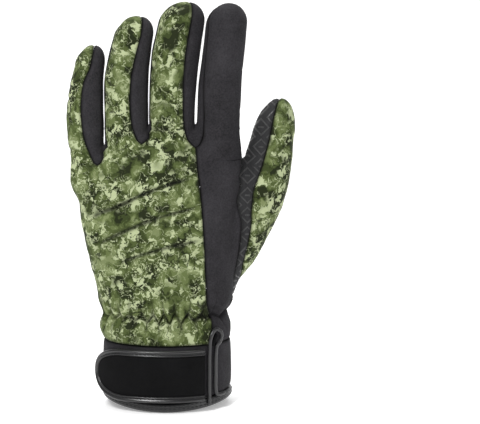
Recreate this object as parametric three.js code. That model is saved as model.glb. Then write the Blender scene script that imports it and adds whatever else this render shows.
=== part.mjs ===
// A left-hand fishing glove as worn: camouflage back, printed palm, neoprene strip, gussets and cuff.
// Millimetres. +Z runs up the fingers, -Y is the back of the hand, +X is the thumb side.
// The origin is the middle of the cuff's mouth, level with the lowest point of its rim.
import * as THREE from 'three';

// Driving sizes
const clothWall = 2.2;
const cuffWall = 3;
const seamGap = 0.45;
const seamBevel = 0.55;
const cuffWidth = 83;
const cuffDepth = 61;
const cuffHeight = 43;
const hemHeight = 6;
const hemRaise = 0.7;
const rimDip = 5;
const ruffleHeight = 17.5;
const palmLength = 97.5;
const palmDepth = 48;
const fingerGap = 1.1;
const littleWidth = 23.4;
const ringWidth = 28;
const middleWidth = 29;
const indexWidth = 27.8;
const littleLength = 61.5;
const ringLength = 80;
const middleLength = 89;
const indexLength = 88;
const thumbWidth = 29.6;
const thumbLength = 123.6;
const thumbReach = 27.4;
const fingerTipLength = 14;
const thumbTipLength = 26;
const strapHeight = 34;
const strapLift = 7;
const strapThickness = 2.4;
const strapBindingWidth = 4;
const strapBindingRaise = 1;
const strapClearance = 0.4;
const strapEndLength = 28;
const slitBindingWidth = 2.4;
const slitBindingRaise = 1.6;
const slitWidth = 3.4;
const slitRise = 9.3;
const ruffleDepth = 1.3;
const gatherDepth = 1.5;
const pleatDepth = 1.2;
const pleatWidth = 3.2;

// How fingers and thumb stand in the hand
const fingerRootDrop = 12;
const fingerRootY = -0.5;
const fingerTipY = 4.5;
const fingerPoleTilt = 22;
const thumbPoleTilt = 8;
const thumbRootY = 7;
const thumbTipY = 5;
const thumbUprightShare = 0.84;
const fingerBlend = 5;
const thumbBlend = 4;
const fingerBlendDrop = 40;
const littleForkShift = -4;
const ringForkShift = -4;
const middleForkShift = 0.6;
const gapCheckRise = 15;
const webY = 4;
const webFootDrop = 9;
const webSettleDrop = 8;
const webSettleLength = 12.5;

// How finely the surface is found and divided
const leastRow = 1.3;
const crestDrop = 1.5;
const fingerRow = 9;
const surfaceStep = 0.25;
const surfaceReach = 120;
const cuffSegments = 40;
const strapSamples = 120;
const slitSteps = 44;

// Heights that the sizes above give
const gatherZ = cuffHeight + ruffleHeight;
const knuckleZ = gatherZ + palmLength;
const knuckleWidth = littleWidth + ringWidth + middleWidth + indexWidth + 3 * fingerGap;
const handLeft = -0.572 * knuckleWidth;
const fingerDepthShare = 0.93;
const toRadians = Math.PI / 180;

// Each row: share of the way along, then the values there; a smooth curve joins the rows.
function smoothTable(rows) {
  const last = rows.length - 1;
  const slope = (i, column) => {
    const before = rows[Math.max(i - 1, 0)];
    const after = rows[Math.min(i + 1, last)];
    return (after[column] - before[column]) / (after[0] - before[0]);
  };
  return (t, column = 1) => {
    if (t <= rows[0][0]) return rows[0][column] + (t - rows[0][0]) * slope(0, column);
    if (t >= rows[last][0]) return rows[last][column] + (t - rows[last][0]) * slope(last, column);
    let i = 0;
    while (rows[i + 1][0] < t) i += 1;
    const span = rows[i + 1][0] - rows[i][0];
    const s = (t - rows[i][0]) / span;
    const rise = rows[i + 1][column] - rows[i][column];
    const m0 = slope(i, column) * span;
    const m1 = slope(i + 1, column) * span;
    return rows[i][column] + s * m0 + s * s * (3 * rise - 2 * m0 - m1) + s ** 3 * (m0 + m1 - 2 * rise);
  };
}

const clamp01 = (t) => Math.min(Math.max(t, 0), 1);
const smooth01 = (t) => clamp01(t) ** 2 * (3 - 2 * clamp01(t));
const mix = (a, b, t) => a + (b - a) * t;

// The wrist and palm: height, left edge, right edge and half depth.
// Wrist rows are shares of the ruffle's height and the cuff's half sizes.
const wristRows = [
  [-1.2, -1, 1, 1],
  [-1, -1, 1, 1],
  [-0.5, -1.055, 1.0, 0.98],
  [0, -1.0, 0.94, 0.87],
];
// Palm rows are shares of the palm's length, the knuckles' width and the palm's depth.
const palmRows = [
  [0.08, -0.395, 0.382, 0.55],
  [0.17, -0.408, 0.396, 0.54],
  [0.355, -0.447, 0.402, 0.52],
  [0.58, -0.489, 0.415, 0.49],
  [0.785, -0.508, 0.42, 0.455],
  [0.93, -0.514, 0.42, 0.415],
  [1, -0.495, 0.42, 0.385],
  [1.06, -0.4, 0.415, 0.34],
  [1.12, -0.285, 0.4, 0.28],
  [1.17, -0.2, 0.36, 0.2],
  [1.2, -0.14, 0.3, 0.12],
  [1.225, -0.05, 0.2, 0.03],
];
const bodySection = smoothTable([
  ...wristRows.map(([t, left, right, depth]) => [
    gatherZ + t * ruffleHeight,
    (left * cuffWidth) / 2,
    (right * cuffWidth) / 2,
    (depth * cuffDepth) / 2,
  ]),
  ...palmRows.map(([t, left, right, depth]) => [
    gatherZ + t * palmLength,
    left * knuckleWidth,
    right * knuckleWidth,
    depth * palmDepth,
  ]),
]);
const palmTopZ = gatherZ + 1.225 * palmLength;

// Each finger: share of its shaft, axis shift and half width as shares of its width.
const fingerTable = [
  {
    width: littleWidth,
    length: littleLength,
    rows: [[0, 0.07, 0.435], [0.35, 0.009, 0.509], [0.6, 0.01, 0.496], [0.83, 0.056, 0.451], [1, 0.137, 0.412]],
  },
  {
    width: ringWidth,
    length: ringLength,
    rows: [[0, 0, 0.49], [0.35, -0.003, 0.503], [0.68, 0.003, 0.507], [0.9, 0.098, 0.474], [1, 0.16, 0.457]],
  },
  {
    width: middleWidth,
    length: middleLength,
    rows: [[0, -0.005, 0.48], [0.3, -0.014, 0.504], [0.55, 0.01, 0.52], [0.8, 0.084, 0.535], [1, 0.2, 0.512]],
  },
  {
    width: indexWidth,
    length: indexLength,
    rows: [[0, -0.02, 0.495], [0.3, 0, 0.5], [0.57, 0.04, 0.5], [0.82, 0.13, 0.485], [1, 0.19, 0.48]],
  },
];
let fingerEdge = handLeft;
const fingers = fingerTable.map((finger) => {
  const axisX = fingerEdge + finger.width / 2;
  fingerEdge += finger.width + fingerGap;
  const shape = smoothTable(finger.rows);
  return {
    ...finger,
    axisX,
    rootZ: knuckleZ - fingerRootDrop,
    capZ: knuckleZ + finger.length,
    tipLength: fingerTipLength,
    poleTilt: fingerPoleTilt * toRadians,
    x(z) {
      return axisX + finger.width * shape(Math.max((z - knuckleZ) / finger.length, 0), 1);
    },
    halfWidth(z) {
      return finger.width * shape(clamp01((z - knuckleZ) / finger.length), 2);
    },
    halfDepth(z) {
      return this.halfWidth(z) * fingerDepthShare;
    },
    y(z) {
      return mix(fingerRootY, fingerTipY, smooth01((z - knuckleZ) / finger.length));
    },
  };
});

// The thumb: share of its length from the wrist, axis reach as a share, half width and depth as shares.
const thumbRows = smoothTable([
  [-0.08, -0.04, 0.33, 0.3],
  [0, 0.06, 0.4, 0.36],
  [0.12, 0.33, 0.48, 0.42],
  [0.23, 0.59, 0.545, 0.47],
  [0.38, 0.87, 0.575, 0.5],
  [0.49, 1.05, 0.6, 0.51],
  [0.63, 1.275, 0.578, 0.49],
  [0.78, 1.445, 0.53, 0.46],
  [0.93, 1.534, 0.498, 0.43],
  [1, 1.585, 0.47, 0.41],
]);
const thumbFootX = 0.225 * knuckleWidth;
const thumbFootZ = gatherZ + 0.09 * palmLength;
const thumbRise = thumbUprightShare * thumbLength;
const thumb = {
  rootZ: thumbFootZ,
  capZ: thumbFootZ + thumbRise,
  tipLength: thumbTipLength,
  poleTilt: thumbPoleTilt * toRadians,
  share(z) {
    return (z - thumbFootZ) / thumbRise;
  },
  x(z) {
    return thumbFootX + thumbReach * thumbRows(this.share(z), 1);
  },
  y(z) {
    return mix(thumbRootY, thumbTipY, clamp01(this.share(z)));
  },
  halfWidth(z) {
    return thumbWidth * thumbRows(Math.min(this.share(z), 1), 2);
  },
  halfDepth(z) {
    return thumbWidth * thumbRows(Math.min(this.share(z), 1), 3);
  },
};

// The hand's smooth outer surface is where this field is zero; it is negative inside.
function tubeField(tube, x, y, z) {
  const zc = Math.min(Math.max(z, tube.rootZ), tube.capZ);
  const a = tube.halfWidth(zc);
  const b = tube.halfDepth(zc);
  const beyond = z > tube.capZ ? (z - tube.capZ) / tube.tipLength : (tube.rootZ - z) / a;
  const over = Math.max(beyond, 0);
  return (Math.hypot((x - tube.x(z)) / a, (y - tube.y(z)) / b, over) - 1) * b;
}

function bodyField(x, y, z) {
  const zc = Math.min(z, palmTopZ);
  const left = bodySection(zc, 1);
  const right = bodySection(zc, 2);
  const a = (right - left) / 2;
  const b = bodySection(zc, 3);
  const power = mix(2, 2.5, smooth01((z - gatherZ) / (0.3 * palmLength)));
  const round = (Math.abs((x - (left + right) / 2) / a) ** power + Math.abs(y / b) ** power) ** (1 / power);
  return (round - 1) * Math.min(a, b) + Math.max(z - palmTopZ, 0);
}

function blendMin(a, b, reach) {
  const overlap = Math.max(reach - Math.abs(a - b), 0) / reach;
  return Math.min(a, b) - (overlap * overlap * reach) / 4;
}

function handField(x, y, z) {
  const body = bodyField(x, y, z);
  let field = body;
  if (z > knuckleZ - fingerBlendDrop) {
    field = Math.min(...fingers.map((finger) => blendMin(tubeField(finger, x, y, z), body, fingerBlend)));
  }
  return blendMin(field, tubeField(thumb, x, y, z), thumbBlend);
}

function outward(x, y, z) {
  const e = 0.05;
  return new THREE.Vector3(
    handField(x + e, y, z) - handField(x - e, y, z),
    handField(x, y + e, z) - handField(x, y - e, z),
    handField(x, y, z + e) - handField(x, y, z - e),
  ).normalize();
}

// The first point where a ray from inside the hand leaves it.
function surfacePoint(origin, direction) {
  const at = (t) => origin.clone().addScaledVector(direction, t);
  const inside = (t) => {
    const p = at(t);
    return handField(p.x, p.y, p.z) < 0;
  };
  let far = 0;
  while (inside(far) && far < surfaceReach) far += surfaceStep;
  let near = Math.max(far - surfaceStep, 0);
  for (let i = 0; i < 16; i += 1) {
    const middle = (near + far) / 2;
    if (inside(middle)) near = middle;
    else far = middle;
  }
  const p = at(near);
  return { p, n: outward(p.x, p.y, p.z) };
}

// A seam is a track up the hand: at a height it gives the ray's start and its angle round the hand.
// Angle 0 looks out of the back, 90 to the thumb side, 180 out of the palm.
const compass = (degrees) =>
  new THREE.Vector3(Math.sin(degrees * toRadians), -Math.cos(degrees * toRadians), 0);

// Palm tracks: share of the palm's length, x as a share of the knuckles' width, angle.
function palmTrack(rows) {
  const table = smoothTable(rows);
  return (z) => {
    const t = (z - gatherZ) / palmLength;
    return { x: knuckleWidth * table(t, 1), y: 0, angle: table(t, 2) };
  };
}

// Finger tracks: share of the shaft above the knuckles, offset as a share of the width, angle.
function fingerTrack(finger, rows) {
  const table = smoothTable(rows);
  const end = rows[rows.length - 1][0];
  return (z) => {
    const t = Math.min((z - knuckleZ) / finger.length, end);
    return { x: finger.x(z) + finger.width * table(t, 1), y: finger.y(z), angle: table(t, 2) };
  };
}

const [little, ring, middle, index] = fingers;

// The forks between fingers: where the gusset's U begins on the back, and the plane of the gap.
function forkBetween(left, right, bottomShare, bottomOffset) {
  const bottomZ = knuckleZ + bottomShare * palmLength;
  const z = knuckleZ + gapCheckRise;
  const gapX = (left.x(z) + left.halfWidth(z) + right.x(z) - right.halfWidth(z)) / 2;
  const bottomX = gapX + bottomOffset;
  let low = bottomZ;
  let high = bottomZ + 40;
  for (let i = 0; i < 24; i += 1) {
    const half = (low + high) / 2;
    if (handField(gapX, 0, half) < 0) low = half;
    else high = half;
  }
  return { bottomZ, gapX, bottomX, topZ: low - 0.01 };
}
const forks = [
  forkBetween(little, ring, 0, littleForkShift),
  forkBetween(ring, middle, 0.138, ringForkShift),
  forkBetween(middle, index, 0.115, middleForkShift),
];

// The web between thumb and hand: the lowest open point of the gap between them.
const indexEdge = index.x(knuckleZ) + index.halfWidth(knuckleZ);
const webX = (indexEdge + thumb.x(knuckleZ) - thumb.halfWidth(knuckleZ)) / 2;
let webTopZ = knuckleZ + fingerBlend;
while (handField(webX, webY, webTopZ) > 0) webTopZ -= 0.05;

// Rows of heights shared by everything below the finger gaps
const rampBetween = (from, to, count) => Array.from({ length: count }, (_, i) => mix(from, to, i / count));
const thenarZ = gatherZ + 0.11 * palmLength;
const webFootZ = webTopZ - webFootDrop;
const palmForkZ = forks.map((fork) => mix(fork.bottomZ, fork.topZ, 0.5));
const heights = [
  cuffHeight + seamGap / 2,
  gatherZ - 0.68 * ruffleHeight,
  gatherZ - 0.36 * ruffleHeight,
  gatherZ - 0.15 * ruffleHeight,
  gatherZ,
  gatherZ + 0.15 * ruffleHeight,
  gatherZ + 0.36 * ruffleHeight,
  ...rampBetween(thenarZ, webFootZ, 11),
  webFootZ,
  mix(webFootZ, webTopZ, 0.5),
  mix(webFootZ, webTopZ, 0.83),
  webTopZ,
  ...forks.map((fork) => fork.bottomZ),
  ...palmForkZ,
  ...forks.map((fork) => mix(fork.bottomZ, fork.topZ, 0.85)),
  ...forks.map((fork) => fork.topZ),
].sort((a, b) => a - b);
const fixedHeights = [webTopZ, thenarZ, ...palmForkZ, ...forks.flatMap((fork) => [fork.bottomZ, fork.topZ])];
const isFixed = (z) => fixedHeights.includes(z);
const commonRows = heights.filter((z, i) => {
  if (isFixed(z)) return true;
  return heights.every((other, j) => j === i || !(isFixed(other) || j < i) || Math.abs(other - z) > leastRow);
});
const rowsFrom = (low, high) => commonRows.filter((z) => z >= low - 1e-6 && z <= high + 1e-6);
const fingerRows = (finger, low, from) => {
  const shared = rowsFrom(low, from);
  const count = Math.max(Math.round((finger.capZ - from) / fingerRow), 2);
  return [...shared, ...rampBetween(from, finger.capZ, count).slice(1), finger.capZ];
};
const highestFork = Math.max(forks[1].topZ, forks[2].topZ);

// Tracks of the back
const join = (z0, lower, upper) => (z) => (z < z0 - 1e-6 ? lower(z) : upper(z));
const along = (finger, z) => (z - knuckleZ) / finger.length;
const sideTrack = join(
  knuckleZ,
  palmTrack([[-0.2, -0.2, -92], [0, -0.2, -92], [0.35, -0.25, -96], [0.7, -0.36, -98], [0.93, -0.44, -98],
    [1, little.x(knuckleZ) / knuckleWidth, -98]]),
  fingerTrack(little, [[0, 0, -98], [1, 0, -98]]),
);
const littleRingBack = palmTrack([[-0.2, -0.205, 0], [0, -0.19, 0], [0.35, -0.24, 0], [0.58, -0.285, 0],
  [0.8, -0.34, 0], [1, forks[0].bottomX / knuckleWidth, 0]]);
const ringMiddleBack = palmTrack([[-0.2, 0.03, 0], [0, 0.02, 0], [0.35, -0.015, 0], [0.58, -0.035, 0],
  [0.8, -0.07, 0], [1.138, forks[1].bottomX / knuckleWidth, 0]]);
const stripSeam = palmTrack([[-0.2, 0.245, 0], [-0.067, 0.27, 0], [0.067, 0.243, 0], [0.17, 0.237, 0],
  [0.364, 0.23, 0], [0.595, 0.22, 0], [0.812, 0.205, 0], [0.964, 0.188, 0],
  [1.115, forks[2].bottomX / knuckleWidth, 0]]);

// The gusset's seam on the back of a finger: side -1 is the finger left of the gap, 1 right of it.
const footRise = 0.018;
const footSpread = 0.075;
const gussetSeam = (finger, fork, side, rows) => {
  const start = along(finger, fork.bottomZ);
  const offset = (fork.bottomX - finger.x(fork.bottomZ)) / finger.width;
  return fingerTrack(finger, [
    [start, offset, 0],
    [start + footRise, offset + side * footSpread, 0],
    ...rows.map(([t, x, angle]) => [start + t, x, angle]),
  ]);
};
const littleGussetSeam = gussetSeam(little, forks[0], -1,
  [[0.09, 0.13, 0], [0.25, 0, 0], [0.48, -0.07, 0], [0.7, -0.09, 0], [0.85, -0.06, 0], [1, 0.02, 4]]);
const ringGussetSeam = gussetSeam(ring, forks[1], -1,
  [[0.05, 0.25, 0], [0.14, 0.16, 0], [0.3, 0.12, 0], [0.5, 0.12, 2], [0.7, 0.14, 4], [0.83, 0.15, 6]]);
const middleGussetSeam = gussetSeam(middle, forks[2], -1,
  [[0.07, 0.352, 0], [0.19, 0.29, 0], [0.35, 0.264, 0], [0.53, 0.23, 2], [0.7, 0.198, 5], [0.87, 0.155, 10]]);
const ringOuterSeam = gussetSeam(ring, forks[0], 1,
  [[0.06, -0.5, -4], [0.1, -0.45, -20], [0.17, -0.12, -64], [0.24, 0, -78], [1, 0, -78]]);
const middleOuterSeam = gussetSeam(middle, forks[1], 1,
  [[0.04, -0.49, -4], [0.09, -0.42, -25], [0.14, -0.12, -64], [0.2, 0, -78], [1, 0, -78]]);
const indexOuterSeam = gussetSeam(index, forks[2], 1,
  [[0.06, -0.36, 0], [0.1, -0.33, -2], [0.3, -0.31, -8], [0.6, -0.3, -24], [0.87, -0.2, -50]]);

// The gap's own lines: over the fork while the fingers are one, then up each facing wall
const forkLine = (fork, angle, finger, wallAngle) => (z) => {
  if (Math.abs(z - fork.topZ) < 1e-6) {
    return { x: fork.gapX, y: 0, angle, fixed: true };
  }
  if (z > fork.topZ) return { x: finger.x(z), y: finger.y(z), angle: wallAngle };
  const settle = smooth01((z - fork.bottomZ) / (0.5 * (fork.topZ - fork.bottomZ)));
  return { x: angle === 0 ? mix(fork.bottomX, fork.gapX, settle) : fork.gapX, y: 0, angle };
};

// The thumb's web works the same way: the strip's edge meets the palm's edge over it.
const thumbTrack = (rows) => {
  const table = smoothTable(rows);
  return (z) => ({ x: thumb.x(z), y: thumb.y(z), angle: table(Math.min(thumb.share(z), 1), 1) });
};
const overWeb = (lower, angle, upper) => (z) => {
  if (Math.abs(z - webTopZ) < 1e-6) return { x: webX, y: webY, angle, fixed: true };
  if (z > webTopZ) return upper(z);
  const below = lower(z);
  const settle = smooth01((z - webFootZ + webSettleDrop) / webSettleLength);
  return {
    x: mix(below.x, webX, settle),
    y: mix(below.y, webY, settle),
    angle: mix(below.angle, angle, settle),
  };
};
const indexSide = fingerTrack(index, [[-0.2, 0, 95], [1, 0, 95]]);
const thumbInside = (angle) => (z) => ({ x: thumb.x(z), y: thumb.y(z), angle });
const stripEdgeBelow = palmTrack([[-0.2, 0.15, 92], [-0.067, 0.15, 92], [0.03, 0.16, 90], [0.128, 0.2, 80],
  [0.24, 0.24, 70], [0.364, 0.27, 64], [0.59, 0.287, 62], [0.77, 0.285, 66], [0.88, 0.295, 76],
  [1, 0.3, 95]]);
const thenarSeamBelow = palmTrack([[0, 0.235, 180], [0.11, 0.225, 180], [0.14, 0.18, 180], [0.19, 0.12, 180],
  [0.25, 0.085, 180], [0.39, 0.062, 180], [0.48, 0.058, 180], [0.6, 0.07, 180], [0.71, 0.11, 180],
  [0.78, 0.155, 180], [0.83, 0.22, 180], [0.88, 0.33, 180], [0.95, 0.42, 180]]);
const stripEdge = overWeb(stripEdgeBelow, 0, indexSide);
const thumbFrontEdge = overWeb(stripEdgeBelow, 0, thumbInside(-92));
const wristSeam = palmTrack([[-0.2, 0.225, 180], [0.11, 0.225, 180]]);
const palmEdge = join(thenarZ, wristSeam, overWeb(thenarSeamBelow, 180, indexSide));
const thumbPalmEdge = overWeb(thenarSeamBelow, 180, thumbInside(268));
const thumbFrontSeam = thumbTrack([[0, 130], [0.06, 105], [0.12, 72], [0.2, 44], [0.27, 31], [0.38, 18],
  [0.49, 4], [0.57, -10], [0.63, -18], [0.7, -25], [0.78, -22], [0.9, -14], [1, -10]]);
const thumbBackSeam = thumbTrack([[0, 152], [0.2, 148], [0.4, 135], [0.6, 123], [0.8, 118], [1, 118]]);

// Tracks of the palm
const palmGussetRows = [[0.06, 0.3, 22], [0.14, 0, 51], [0.3, 0, 56], [1.2, 0, 56]];
const palmGusset = (finger, fork, forkZ, side) => {
  const start = along(finger, forkZ);
  const offset = (fork.gapX - finger.x(forkZ)) / finger.width;
  return fingerTrack(finger, [
    [start, offset, 180],
    ...palmGussetRows.map(([t, x, turn]) => [start + t, side * x, 180 - side * turn]),
  ]);
};
const palmColumnFoot = gatherZ + 0.62 * palmLength;
const palmColumn = (share, fork, forkZ) => (z) => {
  const settle = smooth01((z - palmColumnFoot) / (forkZ - palmColumnFoot));
  const free = mix(palmEdge(Math.min(z, webFootZ)).x, sideTrack(z).x, share);
  return { x: mix(free, fork.gapX, settle), y: 0, angle: 180 };
};
const palmSide = (z) => ({ ...sideTrack(z), angle: sideTrack(z).angle + 360 });

// Ruffles round the elastic: folds run up and down and die away from it.
function ruffle(fold, z, edgeFade) {
  const away = Math.abs(z - gatherZ) / (z > gatherZ ? 1.1 * ruffleHeight : 0.85 * ruffleHeight);
  const rise = smooth01(away * 3.2) * (1 - smooth01(away - 0.15));
  return ruffleDepth * rise * Math.cos(Math.PI * fold) * edgeFade;
}
const gather = (z) => -gatherDepth * Math.exp(-(((z - gatherZ) / (0.17 * ruffleHeight)) ** 2));

// Long pleats across the back: ends as shares of the knuckles' width and the palm's length.
const pleats = [
  { fromX: -0.34, fromZ: 0.685, toX: 0.16, toZ: 0.94, depth: 1 },
  { fromX: -0.42, fromZ: 0.47, toX: 0.2, toZ: 0.74, depth: 1 },
  { fromX: -0.3, fromZ: 0.35, toX: 0.21, toZ: 0.53, depth: 0.9 },
  { fromX: 0.0, fromZ: 0.93, toX: 0.15, toZ: 0.99, depth: 0.7 },
];
function pleat(x, z) {
  return pleats.reduce((sum, { fromX, fromZ, toX, toZ, depth }) => {
    const ax = fromX * knuckleWidth;
    const az = gatherZ + fromZ * palmLength;
    const dx = toX * knuckleWidth - ax;
    const dz = (toZ - fromZ) * palmLength;
    const t = ((x - ax) * dx + (z - az) * dz) / (dx * dx + dz * dz);
    const off = ((x - ax) * dz - (z - az) * dx) / Math.hypot(dx, dz);
    const ends = smooth01((t + 0.05) / 0.15) * smooth01((1.05 - t) / 0.15);
    return sum - pleatDepth * depth * ends * Math.exp(-((off / pleatWidth) ** 2));
  }, 0);
}

const sharpestPull = 0.35;
const capShares = [0.3, 0.58, 0.82, 1];

// A sheet is a welded list of surface points, their normals and its triangles.
class Sheet {
  constructor() {
    this.points = [];
    this.normals = [];
    this.triangles = [];
    this.lookup = new Map();
  }

  add(p, n) {
    const key = [p.x, p.y, p.z].map((value) => Math.round(value * 500)).join(',');
    if (!this.lookup.has(key)) {
      this.lookup.set(key, this.points.length);
      this.points.push(p.clone());
      this.normals.push(n.clone());
    }
    return this.lookup.get(key);
  }

  // Adds a grid of points; all its triangles wind the way that most of them need to face outward.
  grid(rows) {
    const ids = rows.map((row) => row.map(({ p, n }) => this.add(p, n)));
    const added = [];
    for (let j = 0; j + 1 < ids.length; j += 1) {
      for (let i = 0; i + 1 < ids[j].length; i += 1) {
        const [a, b, c, d] = [ids[j][i], ids[j][i + 1], ids[j + 1][i + 1], ids[j + 1][i]];
        const across = this.points[b].distanceTo(this.points[d]);
        const short = this.points[a].distanceTo(this.points[c]) < across;
        added.push(...(short ? [[a, b, c], [a, c, d]] : [[a, b, d], [b, c, d]]));
      }
    }
    const solid = added.filter(([a, b, c]) => a !== b && b !== c && c !== a);
    const facing = solid.reduce((sum, [a, b, c]) => {
      const [p, q, r] = [a, b, c].map((i) => this.points[i]);
      return sum + q.clone().sub(p).cross(r.clone().sub(p)).dot(this.normals[a]);
    }, 0);
    this.triangles.push(...solid.map(([a, b, c]) => (facing > 0 ? [a, b, c] : [a, c, b])));
  }

  edges() {
    const seen = new Set(this.triangles.flatMap(([a, b, c]) => [`${a},${b}`, `${b},${c}`, `${c},${a}`]));
    return [...seen].map((key) => key.split(',').map(Number)).filter(([a, b]) => !seen.has(`${b},${a}`));
  }

  // At each free edge: the way back into the sheet, scaled so that a step along it clears the edge
  pulls() {
    const found = new Map();
    this.edges().forEach(([a, b]) => {
      const edge = this.points[b].clone().sub(this.points[a]).normalize();
      [a, b].forEach((i) => {
        if (!found.has(i)) found.set(i, []);
        found.get(i).push(this.normals[i].clone().cross(edge).normalize());
      });
    });
    return new Map([...found].map(([i, list]) => {
      const sum = list.reduce((total, pull) => total.add(pull), new THREE.Vector3());
      const mean = sum.divideScalar(list.length);
      return [i, mean.divideScalar(Math.max(mean.lengthSq(), sharpestPull))];
    }));
  }

  // Draws the free edges back, so that neighbours keep a seam between them.
  inset(distance) {
    this.pulls().forEach((pull, i) => this.points[i].addScaledVector(pull, distance));
    return this;
  }

  // Gives the sheet a wall on its inner side, with the free edges closed and bevelled there.
  thicken(wall, bevel) {
    const count = this.points.length;
    const inner = this.points.map((p, i) => p.clone().addScaledVector(this.normals[i], -wall));
    this.pulls().forEach((pull, i) => inner[i].addScaledVector(pull, bevel));
    const faces = [
      ...this.triangles,
      ...this.triangles.map(([a, b, c]) => [a + count, c + count, b + count]),
      ...this.edges().flatMap(([a, b]) => [[b, a, a + count], [b, a + count, b + count]]),
    ];
    const geometry = new THREE.BufferGeometry();
    const positions = [...this.points, ...inner].flatMap((p) => [p.x, p.y, p.z]);
    geometry.setAttribute('position', new THREE.Float32BufferAttribute(positions, 3));
    geometry.setIndex(faces.flat());
    geometry.computeVertexNormals();
    return geometry;
  }
}

// One column group of a cloth panel between two tracks
function columnGroup({ left, right, columns, rows, tube, firstFold = 0, ruffled = false, pleated = false }) {
  const upward = new THREE.Vector3(0, 0, 1);
  const crest = ({ x, y }, z) => surfacePoint(new THREE.Vector3(x, y, z - crestDrop), upward);
  const pointAt = (u, z) => {
    const a = left(z);
    const b = right(z);
    if (a.fixed && u === 0) return crest(a, z);
    if (b.fixed && u === 1) return crest(b, z);
    const origin = new THREE.Vector3(mix(a.x, b.x, u), mix(a.y, b.y, u), z);
    const found = surfacePoint(origin, compass(mix(a.angle, b.angle, u)));
    const fade = smooth01(u * 5) * smooth01((1 - u) * 5);
    const folds = ruffled ? ruffle(firstFold + u * columns, z, fade) : 0;
    const pleatsHere = pleated && z <= knuckleZ ? pleat(found.p.x, z) : 0;
    found.p.addScaledVector(found.n, gather(z) + folds + pleatsHere);
    return found;
  };
  const grid = rows.map((z) => Array.from({ length: columns + 1 }, (_, i) => pointAt(i / columns, z)));
  if (tube) {
    const z = tube.capZ;
    const lean = (tube.x(z + tube.tipLength) - tube.x(z)) / tube.tipLength;
    const up = new THREE.Vector3(lean, Math.sin(tube.poleTilt), Math.cos(tube.poleTilt)).normalize();
    const a = left(z);
    const b = right(z);
    capShares.forEach((share) => {
      const climb = share * 90 * toRadians;
      grid.push(Array.from({ length: columns + 1 }, (_, i) => {
        const u = i / columns;
        const keep = Math.max(Math.cos(climb), 0);
        const origin = new THREE.Vector3(
          mix(tube.x(z), mix(a.x, b.x, u), keep),
          mix(tube.y(z), mix(a.y, b.y, u), keep),
          z,
        );
        const ray = compass(mix(a.angle, b.angle, u)).multiplyScalar(keep * tube.halfWidth(z));
        ray.addScaledVector(up, Math.sin(climb) * tube.tipLength);
        return surfacePoint(origin, ray.normalize());
      }));
    });
  }
  return grid;
}

const group = new THREE.Group();
function addPiece(name, geometry, finish) {
  const mesh = new THREE.Mesh(geometry, new THREE.MeshStandardMaterial(finish));
  mesh.name = name;
  group.add(mesh);
}
function addCloth(name, parts, finish) {
  const sheet = new Sheet();
  parts.forEach((part) => sheet.grid(columnGroup(part)));
  addPiece(name, sheet.inset(seamGap / 2).thicken(clothWall, seamBevel), finish);
}

const camouflage = { color: 0x6f8046, roughness: 0.85, metalness: 0 };
const printedBlack = { color: 0x2c2c2f, roughness: 0.7, metalness: 0 };
const neoprene = { color: 0x3a383c, roughness: 0.8, metalness: 0 };
const trim = { color: 0x1b1b1d, roughness: 0.6, metalness: 0 };

const floorRow = commonRows[0];
const columns = 5;
addCloth('back_panel', [
  {
    left: sideTrack,
    right: join(forks[0].bottomZ, littleRingBack, littleGussetSeam),
    columns, rows: fingerRows(little, floorRow, forks[0].topZ), tube: little,
    firstFold: 0, ruffled: true, pleated: true,
  },
  {
    left: join(forks[0].bottomZ, littleRingBack, ringOuterSeam),
    right: join(forks[1].bottomZ, ringMiddleBack, ringGussetSeam),
    columns, rows: fingerRows(ring, floorRow, highestFork), tube: ring,
    firstFold: 5, ruffled: true, pleated: true,
  },
  {
    left: join(forks[1].bottomZ, ringMiddleBack, middleOuterSeam),
    right: join(forks[2].bottomZ, stripSeam, middleGussetSeam),
    columns, rows: fingerRows(middle, floorRow, highestFork), tube: middle,
    firstFold: 10, ruffled: true, pleated: true,
  },
], camouflage);

addCloth('index_strip', [{
  left: join(forks[2].bottomZ, stripSeam, indexOuterSeam),
  right: stripEdge,
  columns, rows: fingerRows(index, floorRow, highestFork), tube: index,
}], neoprene);

// Gussets line the facing walls of two fingers and cross the fork between them.
function addGusset(name, fork, palmZ, leftFinger, rightFinger, tracks) {
  const leftTop = leftFinger === little ? fork.topZ : highestFork;
  const back = (finger, top) => fingerRows(finger, fork.bottomZ, top);
  const palm = (finger, top) => fingerRows(finger, palmZ, top);
  addCloth(name, [
    {
      left: tracks.leftBack, right: forkLine(fork, 0, leftFinger, 90),
      columns: 2, rows: back(leftFinger, leftTop), tube: leftFinger,
    },
    {
      left: forkLine(fork, 180, leftFinger, 90), right: palmGusset(leftFinger, fork, palmZ, 1),
      columns: 1, rows: palm(leftFinger, leftTop), tube: leftFinger,
    },
    {
      left: forkLine(fork, 0, rightFinger, -90), right: tracks.rightBack,
      columns: 1, rows: back(rightFinger, highestFork), tube: rightFinger,
    },
    {
      left: palmGusset(rightFinger, fork, palmZ, -1), right: forkLine(fork, 180, rightFinger, 270),
      columns: 1, rows: palm(rightFinger, highestFork), tube: rightFinger,
    },
  ], neoprene);
}
addGusset('gusset_little_ring', forks[0], palmForkZ[0], little, ring,
  { leftBack: littleGussetSeam, rightBack: ringOuterSeam });
addGusset('gusset_ring_middle', forks[1], palmForkZ[1], ring, middle,
  { leftBack: ringGussetSeam, rightBack: middleOuterSeam });
addGusset('gusset_middle_index', forks[2], palmForkZ[2], middle, index,
  { leftBack: middleGussetSeam, rightBack: indexOuterSeam });

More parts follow.
